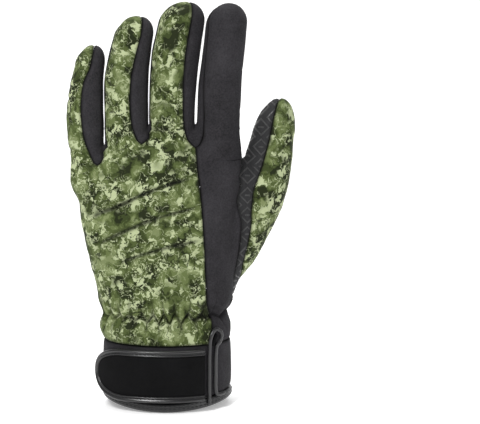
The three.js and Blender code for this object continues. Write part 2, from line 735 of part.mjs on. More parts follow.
const palmColumns = [
  palmColumn(0.36, forks[2], palmForkZ[2]),
  palmColumn(0.7, forks[1], palmForkZ[1]),
  palmColumn(1, forks[0], palmForkZ[0]),
];
addCloth('palm_panel', [
  {
    left: stripEdge, right: wristSeam,
    columns: 4, rows: rowsFrom(floorRow, thenarZ), firstFold: 0, ruffled: true,
  },
  {
    left: palmEdge,
    right: join(palmForkZ[2], palmColumns[0], palmGusset(index, forks[2], palmForkZ[2], -1)),
    columns: 4, rows: fingerRows(index, floorRow, highestFork), tube: index, firstFold: 4, ruffled: true,
  },
  {
    left: join(palmForkZ[2], palmColumns[0], palmGusset(middle, forks[2], palmForkZ[2], 1)),
    right: join(palmForkZ[1], palmColumns[1], palmGusset(middle, forks[1], palmForkZ[1], -1)),
    columns: 4, rows: fingerRows(middle, floorRow, highestFork), tube: middle, firstFold: 8, ruffled: true,
  },
  {
    left: join(palmForkZ[1], palmColumns[1], palmGusset(ring, forks[1], palmForkZ[1], 1)),
    right: join(palmForkZ[0], palmColumns[2], palmGusset(ring, forks[0], palmForkZ[0], -1)),
    columns: 4, rows: fingerRows(ring, floorRow, highestFork), tube: ring, firstFold: 12, ruffled: true,
  },
  {
    left: join(palmForkZ[0], palmColumns[2], palmGusset(little, forks[0], palmForkZ[0], 1)),
    right: palmSide,
    columns: 4, rows: fingerRows(little, floorRow, forks[0].topZ), tube: little, firstFold: 16, ruffled: true,
  },
], printedBlack);

const thumbRowList = [
  ...rowsFrom(thenarZ, webTopZ),
  ...rampBetween(webTopZ, thumb.capZ, 3).slice(1),
  thumb.capZ,
];
addCloth('thumb_back', [{
  left: thumbFrontSeam, right: thumbBackSeam, columns: 5, rows: thumbRowList, tube: thumb,
}], camouflage);
addCloth('thumb_palm', [
  { left: thumbBackSeam, right: thumbPalmEdge, columns: 5, rows: thumbRowList, tube: thumb },
  { left: thumbFrontEdge, right: thumbFrontSeam, columns: 2, rows: thumbRowList, tube: thumb },
], printedBlack);

// The cuff: an oval band whose rim dips at the back and the palm
const rimZ = (angle) => rimDip * Math.sin(angle * toRadians) ** 2;
function cuffPoint(angle, z, raise) {
  const a = cuffWidth / 2 + raise;
  const b = cuffDepth / 2 + raise;
  const s = Math.sin(angle * toRadians);
  const c = Math.cos(angle * toRadians);
  return { p: new THREE.Vector3(a * s, -b * c, z), n: new THREE.Vector3(s / a, -c / b, 0).normalize() };
}
function cuffRing(profile) {
  const sheet = new Sheet();
  sheet.grid(profile.map(({ height, raise }) => Array.from({ length: cuffSegments + 1 }, (_, i) => {
    const angle = ((i % cuffSegments) / cuffSegments) * 360;
    return cuffPoint(angle, height(angle), raise);
  })));
  return sheet;
}
addPiece('cuff_band', cuffRing([
  { height: (angle) => rimZ(angle) + hemHeight + seamGap / 2, raise: 0 },
  { height: (angle) => mix(rimZ(angle) + hemHeight, cuffHeight, 0.5), raise: 0 },
  { height: () => cuffHeight - seamGap / 2, raise: 0 },
]).thicken(cuffWall, 0), neoprene);
addPiece('cuff_hem', cuffRing([
  { height: rimZ, raise: 0 },
  { height: (angle) => rimZ(angle) + 0.25 * hemHeight, raise: hemRaise },
  { height: (angle) => rimZ(angle) + 0.8 * hemHeight, raise: hemRaise },
  { height: (angle) => rimZ(angle) + hemHeight - seamGap / 2, raise: 0 },
]).thicken(cuffWall + hemRaise / 2, 0), trim);

// The strap lies on the cuff and its round tab stands off past the little finger's side.
const strapTabReach = (0.09 * cuffWidth) / 2;
const strapStartAngle = -74;
const strapTopZ = strapLift + strapHeight;
const strapMiddleZ = (strapLift + strapTopZ) / 2;
const slitX = 0.325 * cuffWidth;
function strapPlan(offset) {
  const right = cuffWidth / 2 + offset;
  const leftAxis = right + strapTabReach;
  const depth = cuffDepth / 2 + offset;
  const endAngle = Math.asin((slitX - slitBindingWidth / 2 - seamGap) / right);
  const samples = [];
  let length = 0;
  for (let i = 0; i <= strapSamples; i += 1) {
    const angle = mix(strapStartAngle * toRadians, endAngle, i / strapSamples);
    const a = angle < 0 ? leftAxis : right;
    const p = new THREE.Vector3(a * Math.sin(angle), -depth * Math.cos(angle), 0);
    if (i > 0) length += p.distanceTo(samples[i - 1].p);
    const n = new THREE.Vector3(Math.sin(angle) / a, -Math.cos(angle) / depth, 0).normalize();
    samples.push({ p, n, length });
  }
  return { samples, length };
}
function strapPoint(plan, s, z) {
  const found = plan.samples.findIndex((sample) => sample.length >= s);
  const i = Math.min(Math.max(found, 1), plan.samples.length - 1);
  const [a, b] = [plan.samples[i - 1], plan.samples[i]];
  const t = (s - a.length) / (b.length - a.length);
  return {
    p: new THREE.Vector3(mix(a.p.x, b.p.x, t), mix(a.p.y, b.p.y, t), z),
    n: a.n.clone().lerp(b.n, t).normalize(),
  };
}
const corePlan = strapPlan(strapClearance + strapThickness);
const coreHalf = strapHeight / 2 - strapBindingWidth - strapClearance;
const core = new Sheet();
const coreStart = strapBindingWidth + strapClearance;
const coreEndLength = strapEndLength - coreStart;
const coreStations = [
  ...[0, 15, 32, 50, 70].map((turn) => coreStart + coreEndLength * (1 - Math.cos(turn * toRadians))),
  ...rampBetween(strapEndLength, corePlan.length, 7),
  corePlan.length,
];
core.grid(coreStations.map((s) => {
  const inEnd = Math.min((s - coreStart) / coreEndLength, 1);
  const half = coreHalf * Math.sqrt(Math.max(1 - (1 - inEnd) ** 2, 0));
  return [-1, -0.5, 0, 0.5, 1].map((side) => strapPoint(corePlan, s, strapMiddleZ + side * half));
}));
addPiece('strap', core.thicken(strapThickness, 0), trim);

const bindingPlan = strapPlan(strapClearance + strapThickness + strapBindingRaise);
const outerHalf = strapHeight / 2;
const bindingStations = [
  ...rampBetween(bindingPlan.length, strapEndLength, 6).map((s) => ({ s, turn: 0 })),
  ...rampBetween(0, 180, 14).map((turn) => ({ s: strapEndLength, turn })),
  ...rampBetween(strapEndLength, bindingPlan.length, 6).map((s) => ({ s, turn: 180 })),
  { s: bindingPlan.length, turn: 180 },
];
const binding = new Sheet();
binding.grid(bindingStations.map(({ s, turn }) => [
  { across: 0, sink: 0.5 },
  { across: 0.25, sink: 0 },
  { across: 0.75, sink: 0 },
  { across: 1, sink: 0.5 },
].map(({ across, sink }) => {
  const back = (strapEndLength - across * strapBindingWidth) * Math.sin(turn * toRadians);
  const rise = (outerHalf - across * strapBindingWidth) * Math.cos(turn * toRadians);
  const found = strapPoint(bindingPlan, s - back, strapMiddleZ + rise);
  found.p.addScaledVector(found.n, -sink * strapBindingRaise);
  return found;
})));
addPiece('strap_binding', binding.thicken(strapThickness + 0.4 * strapBindingRaise, 0), trim);

// The bound slit beside the strap: up one side, round the top, down the other and out along the hem
const slitClearance = 0.35;
const slitPath = [
  { x: 0, z: rimDip * 0.5 + 1 },
  { x: 0, z: 0.5 * cuffHeight },
  { x: 0.1, z: cuffHeight },
  { x: 0.45, z: cuffHeight + 0.62 * slitRise },
  { x: 1.25, z: cuffHeight + slitRise },
  { x: 2.2, z: cuffHeight + 0.72 * slitRise },
  { x: 2.1, z: cuffHeight + 0.22 * slitRise },
  { x: 1.3, z: cuffHeight - 0.2 * slitRise },
  { x: 1.1, z: 0.5 * cuffHeight },
  { x: 1.2, z: hemHeight + rimDip },
  { x: 1.8, z: hemHeight + 0.72 * rimDip },
  { x: 2.8, z: hemHeight + 0.8 * rimDip },
].map(({ x, z }) => {
  const across = slitX + x * slitWidth;
  const stand = hemRaise + slitBindingRaise / 2 + slitClearance;
  if (z <= cuffHeight) {
    const angle = Math.asin(across / (cuffWidth / 2)) / toRadians;
    return cuffPoint(angle, z, stand).p;
  }
  const found = surfacePoint(new THREE.Vector3(across, 0, z), compass(0));
  return found.p.addScaledVector(found.n, stand);
});
const slitSection = new THREE.Shape();
slitSection.absellipse(0, 0, slitBindingRaise / 2, slitBindingWidth / 2, 0, Math.PI * 2);
const slitCurve = new THREE.CatmullRomCurve3(slitPath, false, 'centripetal');
addPiece('slit_binding', new THREE.ExtrudeGeometry(slitSection, {
  steps: slitSteps,
  curveSegments: 4,
  extrudePath: slitCurve,
}), trim);

export default group;
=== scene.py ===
"""A left-hand fishing glove, standing filled as worn, dressed over its CAD frame.

Blender's units are metres. The cloth is worked out in millimetres: +Z runs up the fingers, -Y is the
back of the hand and +X is the thumb side. The hand's smooth form is the zero level of one field, and
each cloth panel is a grid of rays from inside that form, between two seams.
"""
import logging
import math
from dataclasses import dataclass, field
from enum import Enum
from typing import Callable, Iterable, Sequence

import bpy
import numpy as np
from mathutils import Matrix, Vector


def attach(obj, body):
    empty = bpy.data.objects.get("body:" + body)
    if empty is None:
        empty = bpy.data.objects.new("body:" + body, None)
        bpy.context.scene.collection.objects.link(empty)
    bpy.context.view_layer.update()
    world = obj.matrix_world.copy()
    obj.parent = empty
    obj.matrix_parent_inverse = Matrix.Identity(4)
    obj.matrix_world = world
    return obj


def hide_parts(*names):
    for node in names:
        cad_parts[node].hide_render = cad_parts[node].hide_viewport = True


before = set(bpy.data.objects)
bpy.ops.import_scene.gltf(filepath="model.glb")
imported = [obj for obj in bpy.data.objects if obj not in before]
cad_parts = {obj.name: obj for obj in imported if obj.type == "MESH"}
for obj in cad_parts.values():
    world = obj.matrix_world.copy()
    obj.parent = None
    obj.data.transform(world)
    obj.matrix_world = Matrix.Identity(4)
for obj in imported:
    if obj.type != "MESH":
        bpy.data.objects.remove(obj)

LOG = logging.getLogger("glove")
MM = 0.001
SEAM_SHADE_WIDTH = 0.0022
Array = np.ndarray
Track = Callable[[Array], "tuple[Array, Array, Array]"]


# numbers

def smooth_step(t: Array) -> Array:
    """Rises from 0 to 1 as t does, level at both ends: 3 t squared less 2 t cubed."""
    t = np.clip(t, 0.0, 1.0)
    return t * t * (3.0 - 2.0 * t)


def mix(a: Array, b: Array, t: Array) -> Array:
    """Goes straight from a to b as t goes from 0 to 1."""
    return a + (b - a) * t


def unit(v: Array) -> Array:
    """Scales vectors along the last axis to length 1."""
    return v / np.maximum(np.linalg.norm(v, axis=-1, keepdims=True), 1e-9)


def bump(distance: Array, width: float) -> Array:
    """A soft ridge of height 1: e to the minus square of distance over width."""
    return np.exp(-((distance / width) ** 2))


def blend_min(a: Array, b: Array, reach: float) -> Array:
    """The lower of two fields, rounded off where they are within reach of each other."""
    overlap = np.maximum(reach - np.abs(a - b), 0.0) / reach
    return np.minimum(a, b) - overlap * overlap * reach / 4.0


class SmoothTable:
    """A smooth curve through rows of given values."""

    def __init__(self, rows: Sequence[Sequence[float]]) -> None:
        """Keeps the rows and the slope at each, which is that between its two neighbours."""
        self.rows = np.asarray(rows, float)
        low = np.maximum(np.arange(len(rows)) - 1, 0)
        high = np.minimum(np.arange(len(rows)) + 1, len(rows) - 1)
        rise = self.rows[high] - self.rows[low]
        self.slopes = rise / rise[:, :1]

    def __call__(self, t: Array, column: int = 1) -> Array:
        """Reads one column at t: a cubic between rows and straight past the ends.

        Args:
            t: where to read, in the units of the first column.
            column: which column to read.

        Returns:
            The values, in the shape of t.
        """
        t = np.asarray(t, float)
        at, value, slope = self.rows[:, 0], self.rows[:, column], self.slopes[:, column]
        i = np.clip(np.searchsorted(at, t, side="right") - 1, 0, len(at) - 2)
        span = at[i + 1] - at[i]
        s = np.clip((t - at[i]) / span, 0.0, 1.0)
        rise, m0, m1 = value[i + 1] - value[i], slope[i] * span, slope[i + 1] * span
        curve = value[i] + s * m0 + s * s * (3 * rise - 2 * m0 - m1) + s**3 * (m0 + m1 - 2 * rise)
        before = slope[0] * np.minimum(t - at[0], 0.0)
        after = slope[-1] * np.maximum(t - at[-1], 0.0)
        return curve + before + after


# the hand's form

@dataclass(frozen=True)
class Sizes:
    """The glove's driving sizes, in millimetres."""

    cloth_wall: float = 2.2
    cuff_wall: float = 3.0
    cuff_width: float = 83.0
    cuff_depth: float = 61.0
    cuff_height: float = 43.0
    hem_height: float = 6.0
    hem_raise: float = 0.7
    rim_dip: float = 5.0
    ruffle_height: float = 17.5
    palm_length: float = 97.5
    palm_depth: float = 48.0
    finger_gap: float = 1.1
    finger_widths: tuple[float, ...] = (23.4, 28.0, 29.0, 27.8)
    finger_lengths: tuple[float, ...] = (61.5, 80.0, 89.0, 88.0)
    finger_depth_share: float = 0.93
    finger_tip_length: float = 14.0
    thumb_width: float = 29.6
    thumb_length: float = 123.6
    thumb_reach: float = 27.4
    thumb_tip_length: float = 26.0

    @property
    def gather_z(self) -> float:
        """Height of the elastic round the wrist."""
        return self.cuff_height + self.ruffle_height

    @property
    def knuckle_z(self) -> float:
        """Height where the fingers' own lengths start."""
        return self.gather_z + self.palm_length

    @property
    def knuckle_width(self) -> float:
        """Width over the four fingers side by side."""
        return sum(self.finger_widths) + 3 * self.finger_gap


@dataclass(frozen=True)
class Tube:
    """An oval tube along Z with a rounded end: a finger or the thumb."""

    x: Callable[[Array], Array]
    y: Callable[[Array], Array]
    half_width: Callable[[Array], Array]
    half_depth: Callable[[Array], Array]
    width: float
    length: float
    root_z: float
    cap_z: float
    tip_length: float
    pole_tilt: float

    def value(self, p: Array) -> Array:
        """The tube's field: how far outside its oval section, in half depths, times the half depth."""
        x, y, z = p[..., 0], p[..., 1], p[..., 2]
        held = np.clip(z, self.root_z, self.cap_z)
        a, b = self.half_width(held), self.half_depth(held)
        over = np.where(z > self.cap_z, (z - self.cap_z) / self.tip_length, (self.root_z - z) / a)
        over = np.maximum(over, 0.0)
        reach = np.sqrt(((x - self.x(z)) / a) ** 2 + ((y - self.y(z)) / b) ** 2 + over**2)
        return (reach - 1.0) * b

    def pole(self) -> Array:
        """The way that the tip points."""
        lean = (self.x(np.array(self.cap_z + 5.0)) - self.x(np.array(self.cap_z))) / 5.0
        return unit(np.array([float(lean), math.sin(self.pole_tilt), math.cos(self.pole_tilt)]))


class HandForm:
    """The filled hand's smooth outer surface as the zero level of a field, negative inside."""

    WRIST = ((-1.2, -1, 1, 1), (-1, -1, 1, 1), (-0.5, -1.055, 1.0, 0.98), (0, -1.0, 0.94, 0.87))
    PALM = (
        (0.08, -0.395, 0.382, 0.55), (0.17, -0.408, 0.396, 0.54), (0.355, -0.447, 0.402, 0.52),
        (0.58, -0.489, 0.415, 0.49), (0.785, -0.508, 0.42, 0.455), (0.93, -0.514, 0.42, 0.415),
        (1, -0.495, 0.42, 0.385), (1.06, -0.4, 0.415, 0.34), (1.12, -0.285, 0.4, 0.28),
        (1.17, -0.2, 0.36, 0.2), (1.2, -0.14, 0.3, 0.12), (1.225, -0.05, 0.2, 0.03),
    )
    FINGER_ROWS = (
        ((0, 0.07, 0.435), (0.35, 0.009, 0.509), (0.6, 0.01, 0.496), (0.83, 0.056, 0.451), (1, 0.137, 0.412)),
        ((0, 0, 0.49), (0.35, -0.003, 0.503), (0.68, 0.003, 0.507), (0.9, 0.098, 0.474), (1, 0.16, 0.457)),
        ((0, -0.005, 0.48), (0.3, -0.014, 0.504), (0.55, 0.01, 0.52), (0.8, 0.084, 0.535), (1, 0.2, 0.512)),
        ((0, -0.02, 0.495), (0.3, 0, 0.5), (0.57, 0.04, 0.5), (0.82, 0.13, 0.485), (1, 0.19, 0.48)),
    )
    THUMB_ROWS = (
        (-0.08, -0.04, 0.33, 0.3), (0, 0.06, 0.4, 0.36), (0.12, 0.33, 0.48, 0.42), (0.23, 0.59, 0.545, 0.47),
        (0.38, 0.87, 0.575, 0.5), (0.49, 1.05, 0.6, 0.51), (0.63, 1.275, 0.578, 0.49),
        (0.78, 1.445, 0.53, 0.46),
        (0.93, 1.534, 0.498, 0.43), (1, 1.585, 0.47, 0.41),
    )

    def __init__(self, sizes: Sizes) -> None:
        """Builds the section tables, the four fingers and the thumb from the sizes."""
        s = self.sizes = sizes
        wrist = [(s.gather_z + t * s.ruffle_height, left * s.cuff_width / 2, right * s.cuff_width / 2,
                  depth * s.cuff_depth / 2) for t, left, right, depth in self.WRIST]
        palm = [(s.gather_z + t * s.palm_length, left * s.knuckle_width, right * s.knuckle_width,
                 depth * s.palm_depth) for t, left, right, depth in self.PALM]
        self.section = SmoothTable(wrist + palm)
        self.palm_top = palm[-1][0]
        edge = -0.572 * s.knuckle_width
        self.fingers: list[Tube] = []
        for width, length, rows in zip(s.finger_widths, s.finger_lengths, self.FINGER_ROWS):
            self.fingers.append(self._finger(edge + width / 2, width, length, SmoothTable(rows)))
            edge += width + s.finger_gap
        self.thumb_foot_x = 0.225 * s.knuckle_width
        self.thumb_foot_z = s.gather_z + 0.09 * s.palm_length
        self.thumb = self._thumb()

    def _finger(self, axis_x: float, width: float, length: float, shape: SmoothTable) -> Tube:
        """One finger from its axis, width, length and table of shift and half width."""
        s = self.sizes
        share = lambda z: (np.asarray(z, float) - s.knuckle_z) / length
        half = lambda z: width * shape(np.clip(share(z), 0, 1), 2)
        return Tube(
            x=lambda z: axis_x + width * shape(np.maximum(share(z), 0), 1),
            y=lambda z: mix(-0.5, 4.5, smooth_step(share(z))),
            half_width=half, half_depth=lambda z: half(z) * s.finger_depth_share,
            width=width, length=length, root_z=s.knuckle_z - 12, cap_z=s.knuckle_z + length,
            tip_length=s.finger_tip_length, pole_tilt=math.radians(22),
        )

    def thumb_share(self, z: Array) -> Array:
        """How far up the thumb a height is, from its foot to the start of its round end."""
        return (np.asarray(z, float) - self.thumb_foot_z) / (0.84 * self.sizes.thumb_length)

    def _thumb(self) -> Tube:
        """The thumb, which leans outward as it rises."""
        s, share, table = self.sizes, self.thumb_share, SmoothTable(self.THUMB_ROWS)
        return Tube(
            x=lambda z: self.thumb_foot_x + s.thumb_reach * table(share(z), 1),
            y=lambda z: 7 - 2 * np.clip(share(z), 0, 1),
            half_width=lambda z: s.thumb_width * table(np.minimum(share(z), 1), 2),
            half_depth=lambda z: s.thumb_width * table(np.minimum(share(z), 1), 3),
            width=s.thumb_width, length=s.thumb_length, root_z=self.thumb_foot_z,
            cap_z=self.thumb_foot_z + 0.84 * s.thumb_length, tip_length=s.thumb_tip_length,
            pole_tilt=math.radians(8),
        )

    def body(self, p: Array) -> Array:
        """The wrist and palm: a stack of rounded oval sections, squarer above the wrist."""
        s = self.sizes
        z = np.minimum(p[..., 2], self.palm_top)
        left, right, b = (self.section(z, column) for column in (1, 2, 3))
        a = (right - left) / 2
        power = mix(2.0, 2.5, smooth_step((z - s.gather_z) / (0.3 * s.palm_length)))
        across = np.abs((p[..., 0] - (left + right) / 2) / a)
        reach = (across**power + np.abs(p[..., 1] / b) ** power) ** (1 / power)
        return (reach - 1.0) * np.minimum(a, b) + np.maximum(p[..., 2] - self.palm_top, 0.0)

    def value(self, p: Array) -> Array:
        """The whole hand's field: palm and each finger blended, fingers apart, then the thumb."""
        body = self.body(p)
        whole = np.min([blend_min(tube.value(p), body, 5.0) for tube in self.fingers], axis=0)
        whole = np.where(p[..., 2] > self.sizes.knuckle_z - 40, whole, body)
        return blend_min(whole, self.thumb.value(p), 4.0)

    def normals(self, p: Array) -> Array:
        """The field's slope at points, as unit vectors that point out of the hand."""
        step = 0.05
        parts = [self.value(p + step * axis) - self.value(p - step * axis) for axis in np.eye(3)]
        return unit(np.stack(parts, axis=-1))

    def leave(self, origin: Array, way: Array) -> Array:
        """Where rays from inside first leave the hand: strides of the field's depth, then halving.

        Args:
            origin: starting points, inside the hand.
            way: unit directions, one for each point.

        Returns:
            The points on the surface.
        """
        shape = origin.shape
        origin, way = origin.reshape(-1, 3), way.reshape(-1, 3)
        near = np.zeros(len(origin))
        far = np.full(len(origin), 120.0)
        open_rays = np.arange(len(origin))
        at = near.copy()
        for _ in range(160):
            depth = self.value(origin[open_rays] + way[open_rays] * at[open_rays, None])
            out = depth >= 0
            far[open_rays[out]] = at[open_rays[out]]
            open_rays, depth = open_rays[~out], depth[~out]
            near[open_rays] = at[open_rays]
            at[open_rays] += np.clip(-0.8 * depth, 0.15, 6.0)
            if not len(open_rays) or at[open_rays].min() > 118:
                break
        for _ in range(18):
            middle = (near + far) / 2
            inside = self.value(origin + way * middle[:, None]) < 0
            near, far = np.where(inside, middle, near), np.where(inside, far, middle)
        return (origin + way * near[:, None]).reshape(shape)


# seams

@dataclass(frozen=True)
class Fork:
    """The bottom of the gap between two fingers: where the gusset's U starts and the gap's plane."""

    bottom_z: float
    bottom_x: float
    gap_x: float
    top_z: float

    @property
    def palm_z(self) -> float:
        """Height where the gusset starts on the palm."""
        return (self.bottom_z + self.top_z) / 2


def compass(degrees: Array) -> Array:
    """Level unit vectors: 0 looks out of the back, 90 to the thumb side, 180 out of the palm."""
    turn = np.radians(degrees)
    return np.stack([np.sin(turn), -np.cos(turn), np.zeros_like(turn)], axis=-1)


def join(z0: float, lower: Track, upper: Track) -> Track:
    """A track that follows one below a height and another from there up."""
    return lambda z: tuple(np.where(z < z0 - 1e-6, a, b) for a, b in zip(lower(z), upper(z)))


class Seams:
    """Every seam of the glove as a track: at a height it gives a ray's start and its angle."""

    FOOT_RISE = 0.018
    FOOT_SPREAD = 0.075

    def __init__(self, form: HandForm) -> None:
        """Finds the forks and the thumb's web, then lays the seams out from them."""
        self.form, self.sizes = form, form.sizes
        s, (little, ring, middle, index) = form.sizes, form.fingers
        self.forks = (
            self._fork(little, ring, 0.0, -4.0),
            self._fork(ring, middle, 0.138, -4.0),
            self._fork(middle, index, 0.115, 0.6),
        )
        k = s.knuckle_z
        right_of = lambda tube: float(tube.x(k) + tube.half_width(k))
        left_of = lambda tube: float(tube.x(k) - tube.half_width(k))
        self.web_x, self.web_y = (right_of(index) + left_of(form.thumb)) / 2, 4.0
        climb = np.arange(k + 5, k - 60, -0.05)
        column = np.stack([np.full_like(climb, self.web_x), np.full_like(climb, self.web_y), climb], axis=-1)
        self.web_top = float(climb[np.argmax(form.value(column) <= 0)])
        self.web_foot = self.web_top - 9
        self.thenar_z = s.gather_z + 0.11 * s.palm_length
        self._back()
        self._thumb_side()

    def _fork(self, left: Tube, right: Tube, share: float, shift: float) -> Fork:
        """The fork between two fingers, its top found by halving up the gap's plane."""
        s = self.sizes
        z = s.knuckle_z + 15
        gap_x = float(left.x(z) + left.half_width(z) + right.x(z) - right.half_width(z)) / 2
        bottom = s.knuckle_z + share * s.palm_length
        low, high = bottom, bottom + 40
        for _ in range(24):
            half = (low + high) / 2
            inside = self.form.value(np.array([gap_x, 0.0, half])) < 0
            low, high = (half, high) if inside else (low, half)
        return Fork(bottom, gap_x + shift, gap_x, low - 0.01)

    def palm_track(self, rows: Sequence[Sequence[float]]) -> Track:
        """A track from rows of share of the palm's length, x as a share of its width, and angle."""
        s, table = self.sizes, SmoothTable(rows)

        def at(z: Array) -> tuple[Array, Array, Array]:
            """Reads the track at heights."""
            t = (z - s.gather_z) / s.palm_length
            return s.knuckle_width * table(t, 1), np.zeros_like(t), table(t, 2)

        return at

    def finger_track(self, tube: Tube, rows: Sequence[Sequence[float]]) -> Track:
        """A track from rows of share of the shaft, offset as a share of the width, and angle."""
        s, table, end = self.sizes, SmoothTable(rows), rows[-1][0]

        def at(z: Array) -> tuple[Array, Array, Array]:
            """Reads the track at heights."""
            t = np.minimum((z - s.knuckle_z) / tube.length, end)
            return tube.x(z) + tube.width * table(t, 1), tube.y(z), table(t, 2)

        return at

    def from_fork(self, tube: Tube, fork: Fork, side: int, rows: Sequence[Sequence[float]]) -> Track:
        """A gusset's back seam up a finger, from the round foot of the U; rows count from that height."""
        start = (fork.bottom_z - self.sizes.knuckle_z) / tube.length
        offset = (fork.bottom_x - float(tube.x(fork.bottom_z))) / tube.width
        foot = [(start, offset, 0), (start + self.FOOT_RISE, offset + self.FOOT_SPREAD * side, 0)]
        return self.finger_track(tube, foot + [(start + t, x, turn) for t, x, turn in rows])

    def from_palm_fork(self, tube: Tube, fork: Fork, side: int) -> Track:
        """A gusset's palm seam up a finger: side 1 is the finger left of the gap, -1 right of it."""
        start = (fork.palm_z - self.sizes.knuckle_z) / tube.length
        offset = (fork.gap_x - float(tube.x(fork.palm_z))) / tube.width
        rows = ((0.06, 0.3, 22), (0.14, 0, 51), (0.3, 0, 56), (1.2, 0, 56))
        return self.finger_track(tube, [
            (start, offset, 180), *((start + t, side * x, 180 - side * turn) for t, x, turn in rows)])

    def over_fork(self, fork: Fork, angle: float, tube: Tube, wall_angle: float) -> Track:
        """The gap's own line: over the fork below its top, then up a finger's facing wall."""
        def at(z: Array) -> tuple[Array, Array, Array]:
            """Reads the track at heights."""
            settle = smooth_step((z - fork.bottom_z) / (0.5 * (fork.top_z - fork.bottom_z)))
            low_x = mix(fork.bottom_x, fork.gap_x, settle) if angle == 0 else np.full_like(z, fork.gap_x)
            above = z > fork.top_z + 1e-6
            return (np.where(above, tube.x(z), low_x), np.where(above, tube.y(z), 0.0),
                    np.where(above, wall_angle, angle))

        return at

    def over_web(self, lower: Track, angle: float, upper: Track) -> Track:
        """A track that settles onto the thumb's web and then climbs a facing wall."""
        def at(z: Array) -> tuple[Array, Array, Array]:
            """Reads the track at heights."""
            settle = smooth_step((z - self.web_foot + 8) / 12.5)
            held = [mix(a, b, settle) for a, b in zip(lower(z), (self.web_x, self.web_y, angle))]
            return tuple(np.where(z > self.web_top + 1e-6, b, a) for a, b in zip(held, upper(z)))

        return at

    def _back(self) -> None:
        """Seams that show on the back of the hand and fingers."""
        s, (little, ring, middle, index), forks = self.sizes, self.form.fingers, self.forks
        wide = s.knuckle_width
        self.side = join(
            s.knuckle_z,
            self.palm_track([(-0.2, -0.2, -92), (0, -0.2, -92), (0.35, -0.25, -96), (0.7, -0.36, -98),
                             (0.93, -0.44, -98), (1, float(little.x(s.knuckle_z)) / wide, -98)]),
            self.finger_track(little, [(0, 0, -98), (1, 0, -98)]),
        )
        self.little_ring = self.palm_track([
            (-0.2, -0.205, 0), (0, -0.19, 0), (0.35, -0.24, 0), (0.58, -0.285, 0), (0.8, -0.34, 0),
            (1, forks[0].bottom_x / wide, 0)])
        self.ring_middle = self.palm_track([
            (-0.2, 0.03, 0), (0, 0.02, 0), (0.35, -0.015, 0), (0.58, -0.035, 0), (0.8, -0.07, 0),
            (1.138, forks[1].bottom_x / wide, 0)])
        self.strip = self.palm_track([
            (-0.2, 0.245, 0), (-0.067, 0.27, 0), (0.067, 0.243, 0), (0.17, 0.237, 0), (0.364, 0.23, 0),
            (0.595, 0.22, 0), (0.812, 0.205, 0), (0.964, 0.188, 0), (1.115, forks[2].bottom_x / wide, 0)])
        self.little_gusset = self.from_fork(little, forks[0], -1, [
            (0.09, 0.13, 0), (0.25, 0, 0), (0.48, -0.07, 0), (0.7, -0.09, 0), (0.85, -0.06, 0), (1, 0.02, 4)])
        self.ring_gusset = self.from_fork(ring, forks[1], -1, [
            (0.05, 0.25, 0), (0.14, 0.16, 0), (0.3, 0.12, 0), (0.5, 0.12, 2), (0.7, 0.14, 4),
            (0.83, 0.15, 6)])
        self.middle_gusset = self.from_fork(middle, forks[2], -1, [
            (0.07, 0.352, 0), (0.19, 0.29, 0), (0.35, 0.264, 0), (0.53, 0.23, 2), (0.7, 0.198, 5),
            (0.87, 0.155, 10)])
        self.ring_outer = self.from_fork(ring, forks[0], 1, [
            (0.06, -0.5, -4), (0.1, -0.45, -20), (0.17, -0.12, -64), (0.24, 0, -78), (1, 0, -78)])
        self.middle_outer = self.from_fork(middle, forks[1], 1, [
            (0.04, -0.49, -4), (0.09, -0.42, -25), (0.14, -0.12, -64), (0.2, 0, -78), (1, 0, -78)])
        self.index_outer = self.from_fork(index, forks[2], 1, [
            (0.06, -0.36, 0), (0.1, -0.33, -2), (0.3, -0.31, -8), (0.6, -0.3, -24), (0.87, -0.2, -50)])

    def _thumb_side(self) -> None:
        """Seams round the thumb and between the palm and the index strip."""
        thumb, index = self.form.thumb, self.form.fingers[3]
        inside = lambda angle: (lambda z: (thumb.x(z), thumb.y(z), np.full_like(z, angle)))
        index_side = self.finger_track(index, [(-0.2, 0, 95), (1, 0, 95)])
        strip_edge = self.palm_track([
            (-0.2, 0.15, 92), (-0.067, 0.15, 92), (0.03, 0.16, 90), (0.128, 0.2, 80), (0.24, 0.24, 70),
            (0.364, 0.27, 64), (0.59, 0.287, 62), (0.77, 0.285, 66), (0.88, 0.295, 76), (1, 0.3, 95)])
        thenar = self.palm_track([
            (0, 0.235, 180), (0.11, 0.225, 180), (0.14, 0.18, 180), (0.19, 0.12, 180), (0.25, 0.085, 180),
            (0.39, 0.062, 180), (0.48, 0.058, 180), (0.6, 0.07, 180), (0.71, 0.11, 180), (0.78, 0.155, 180),
            (0.83, 0.22, 180), (0.88, 0.33, 180), (0.95, 0.42, 180)])
        self.strip_edge = self.over_web(strip_edge, 0, index_side)
        self.thumb_front_edge = self.over_web(strip_edge, 0, inside(-92))
        self.wrist = self.palm_track([(-0.2, 0.225, 180), (0.11, 0.225, 180)])
        self.palm_edge = join(self.thenar_z, self.wrist, self.over_web(thenar, 180, index_side))
        self.thumb_palm_edge = self.over_web(thenar, 180, inside(268))
        self.thumb_front = self._up_thumb([
            (0, 130), (0.06, 105), (0.12, 72), (0.2, 44), (0.27, 31), (0.38, 18), (0.49, 4),
            (0.57, -10), (0.63, -18), (0.7, -25), (0.78, -22), (0.9, -14), (1, -10)])
        self.thumb_back = self._up_thumb([(0, 152), (0.2, 148), (0.4, 135), (0.6, 123), (0.8, 118), (1, 118)])

    def _up_thumb(self, rows: Sequence[Sequence[float]]) -> Track:
        """A track up the thumb from rows of share of its length and angle."""
        form, table = self.form, SmoothTable(rows)
        return lambda z: (form.thumb.x(z), form.thumb.y(z), table(np.minimum(form.thumb_share(z), 1)))

    def palm_column(self, share: float, fork: Fork) -> Track:
        """A line up the palm that is no seam and ends at a fork."""
        s = self.sizes
        start = s.gather_z + 0.62 * s.palm_length

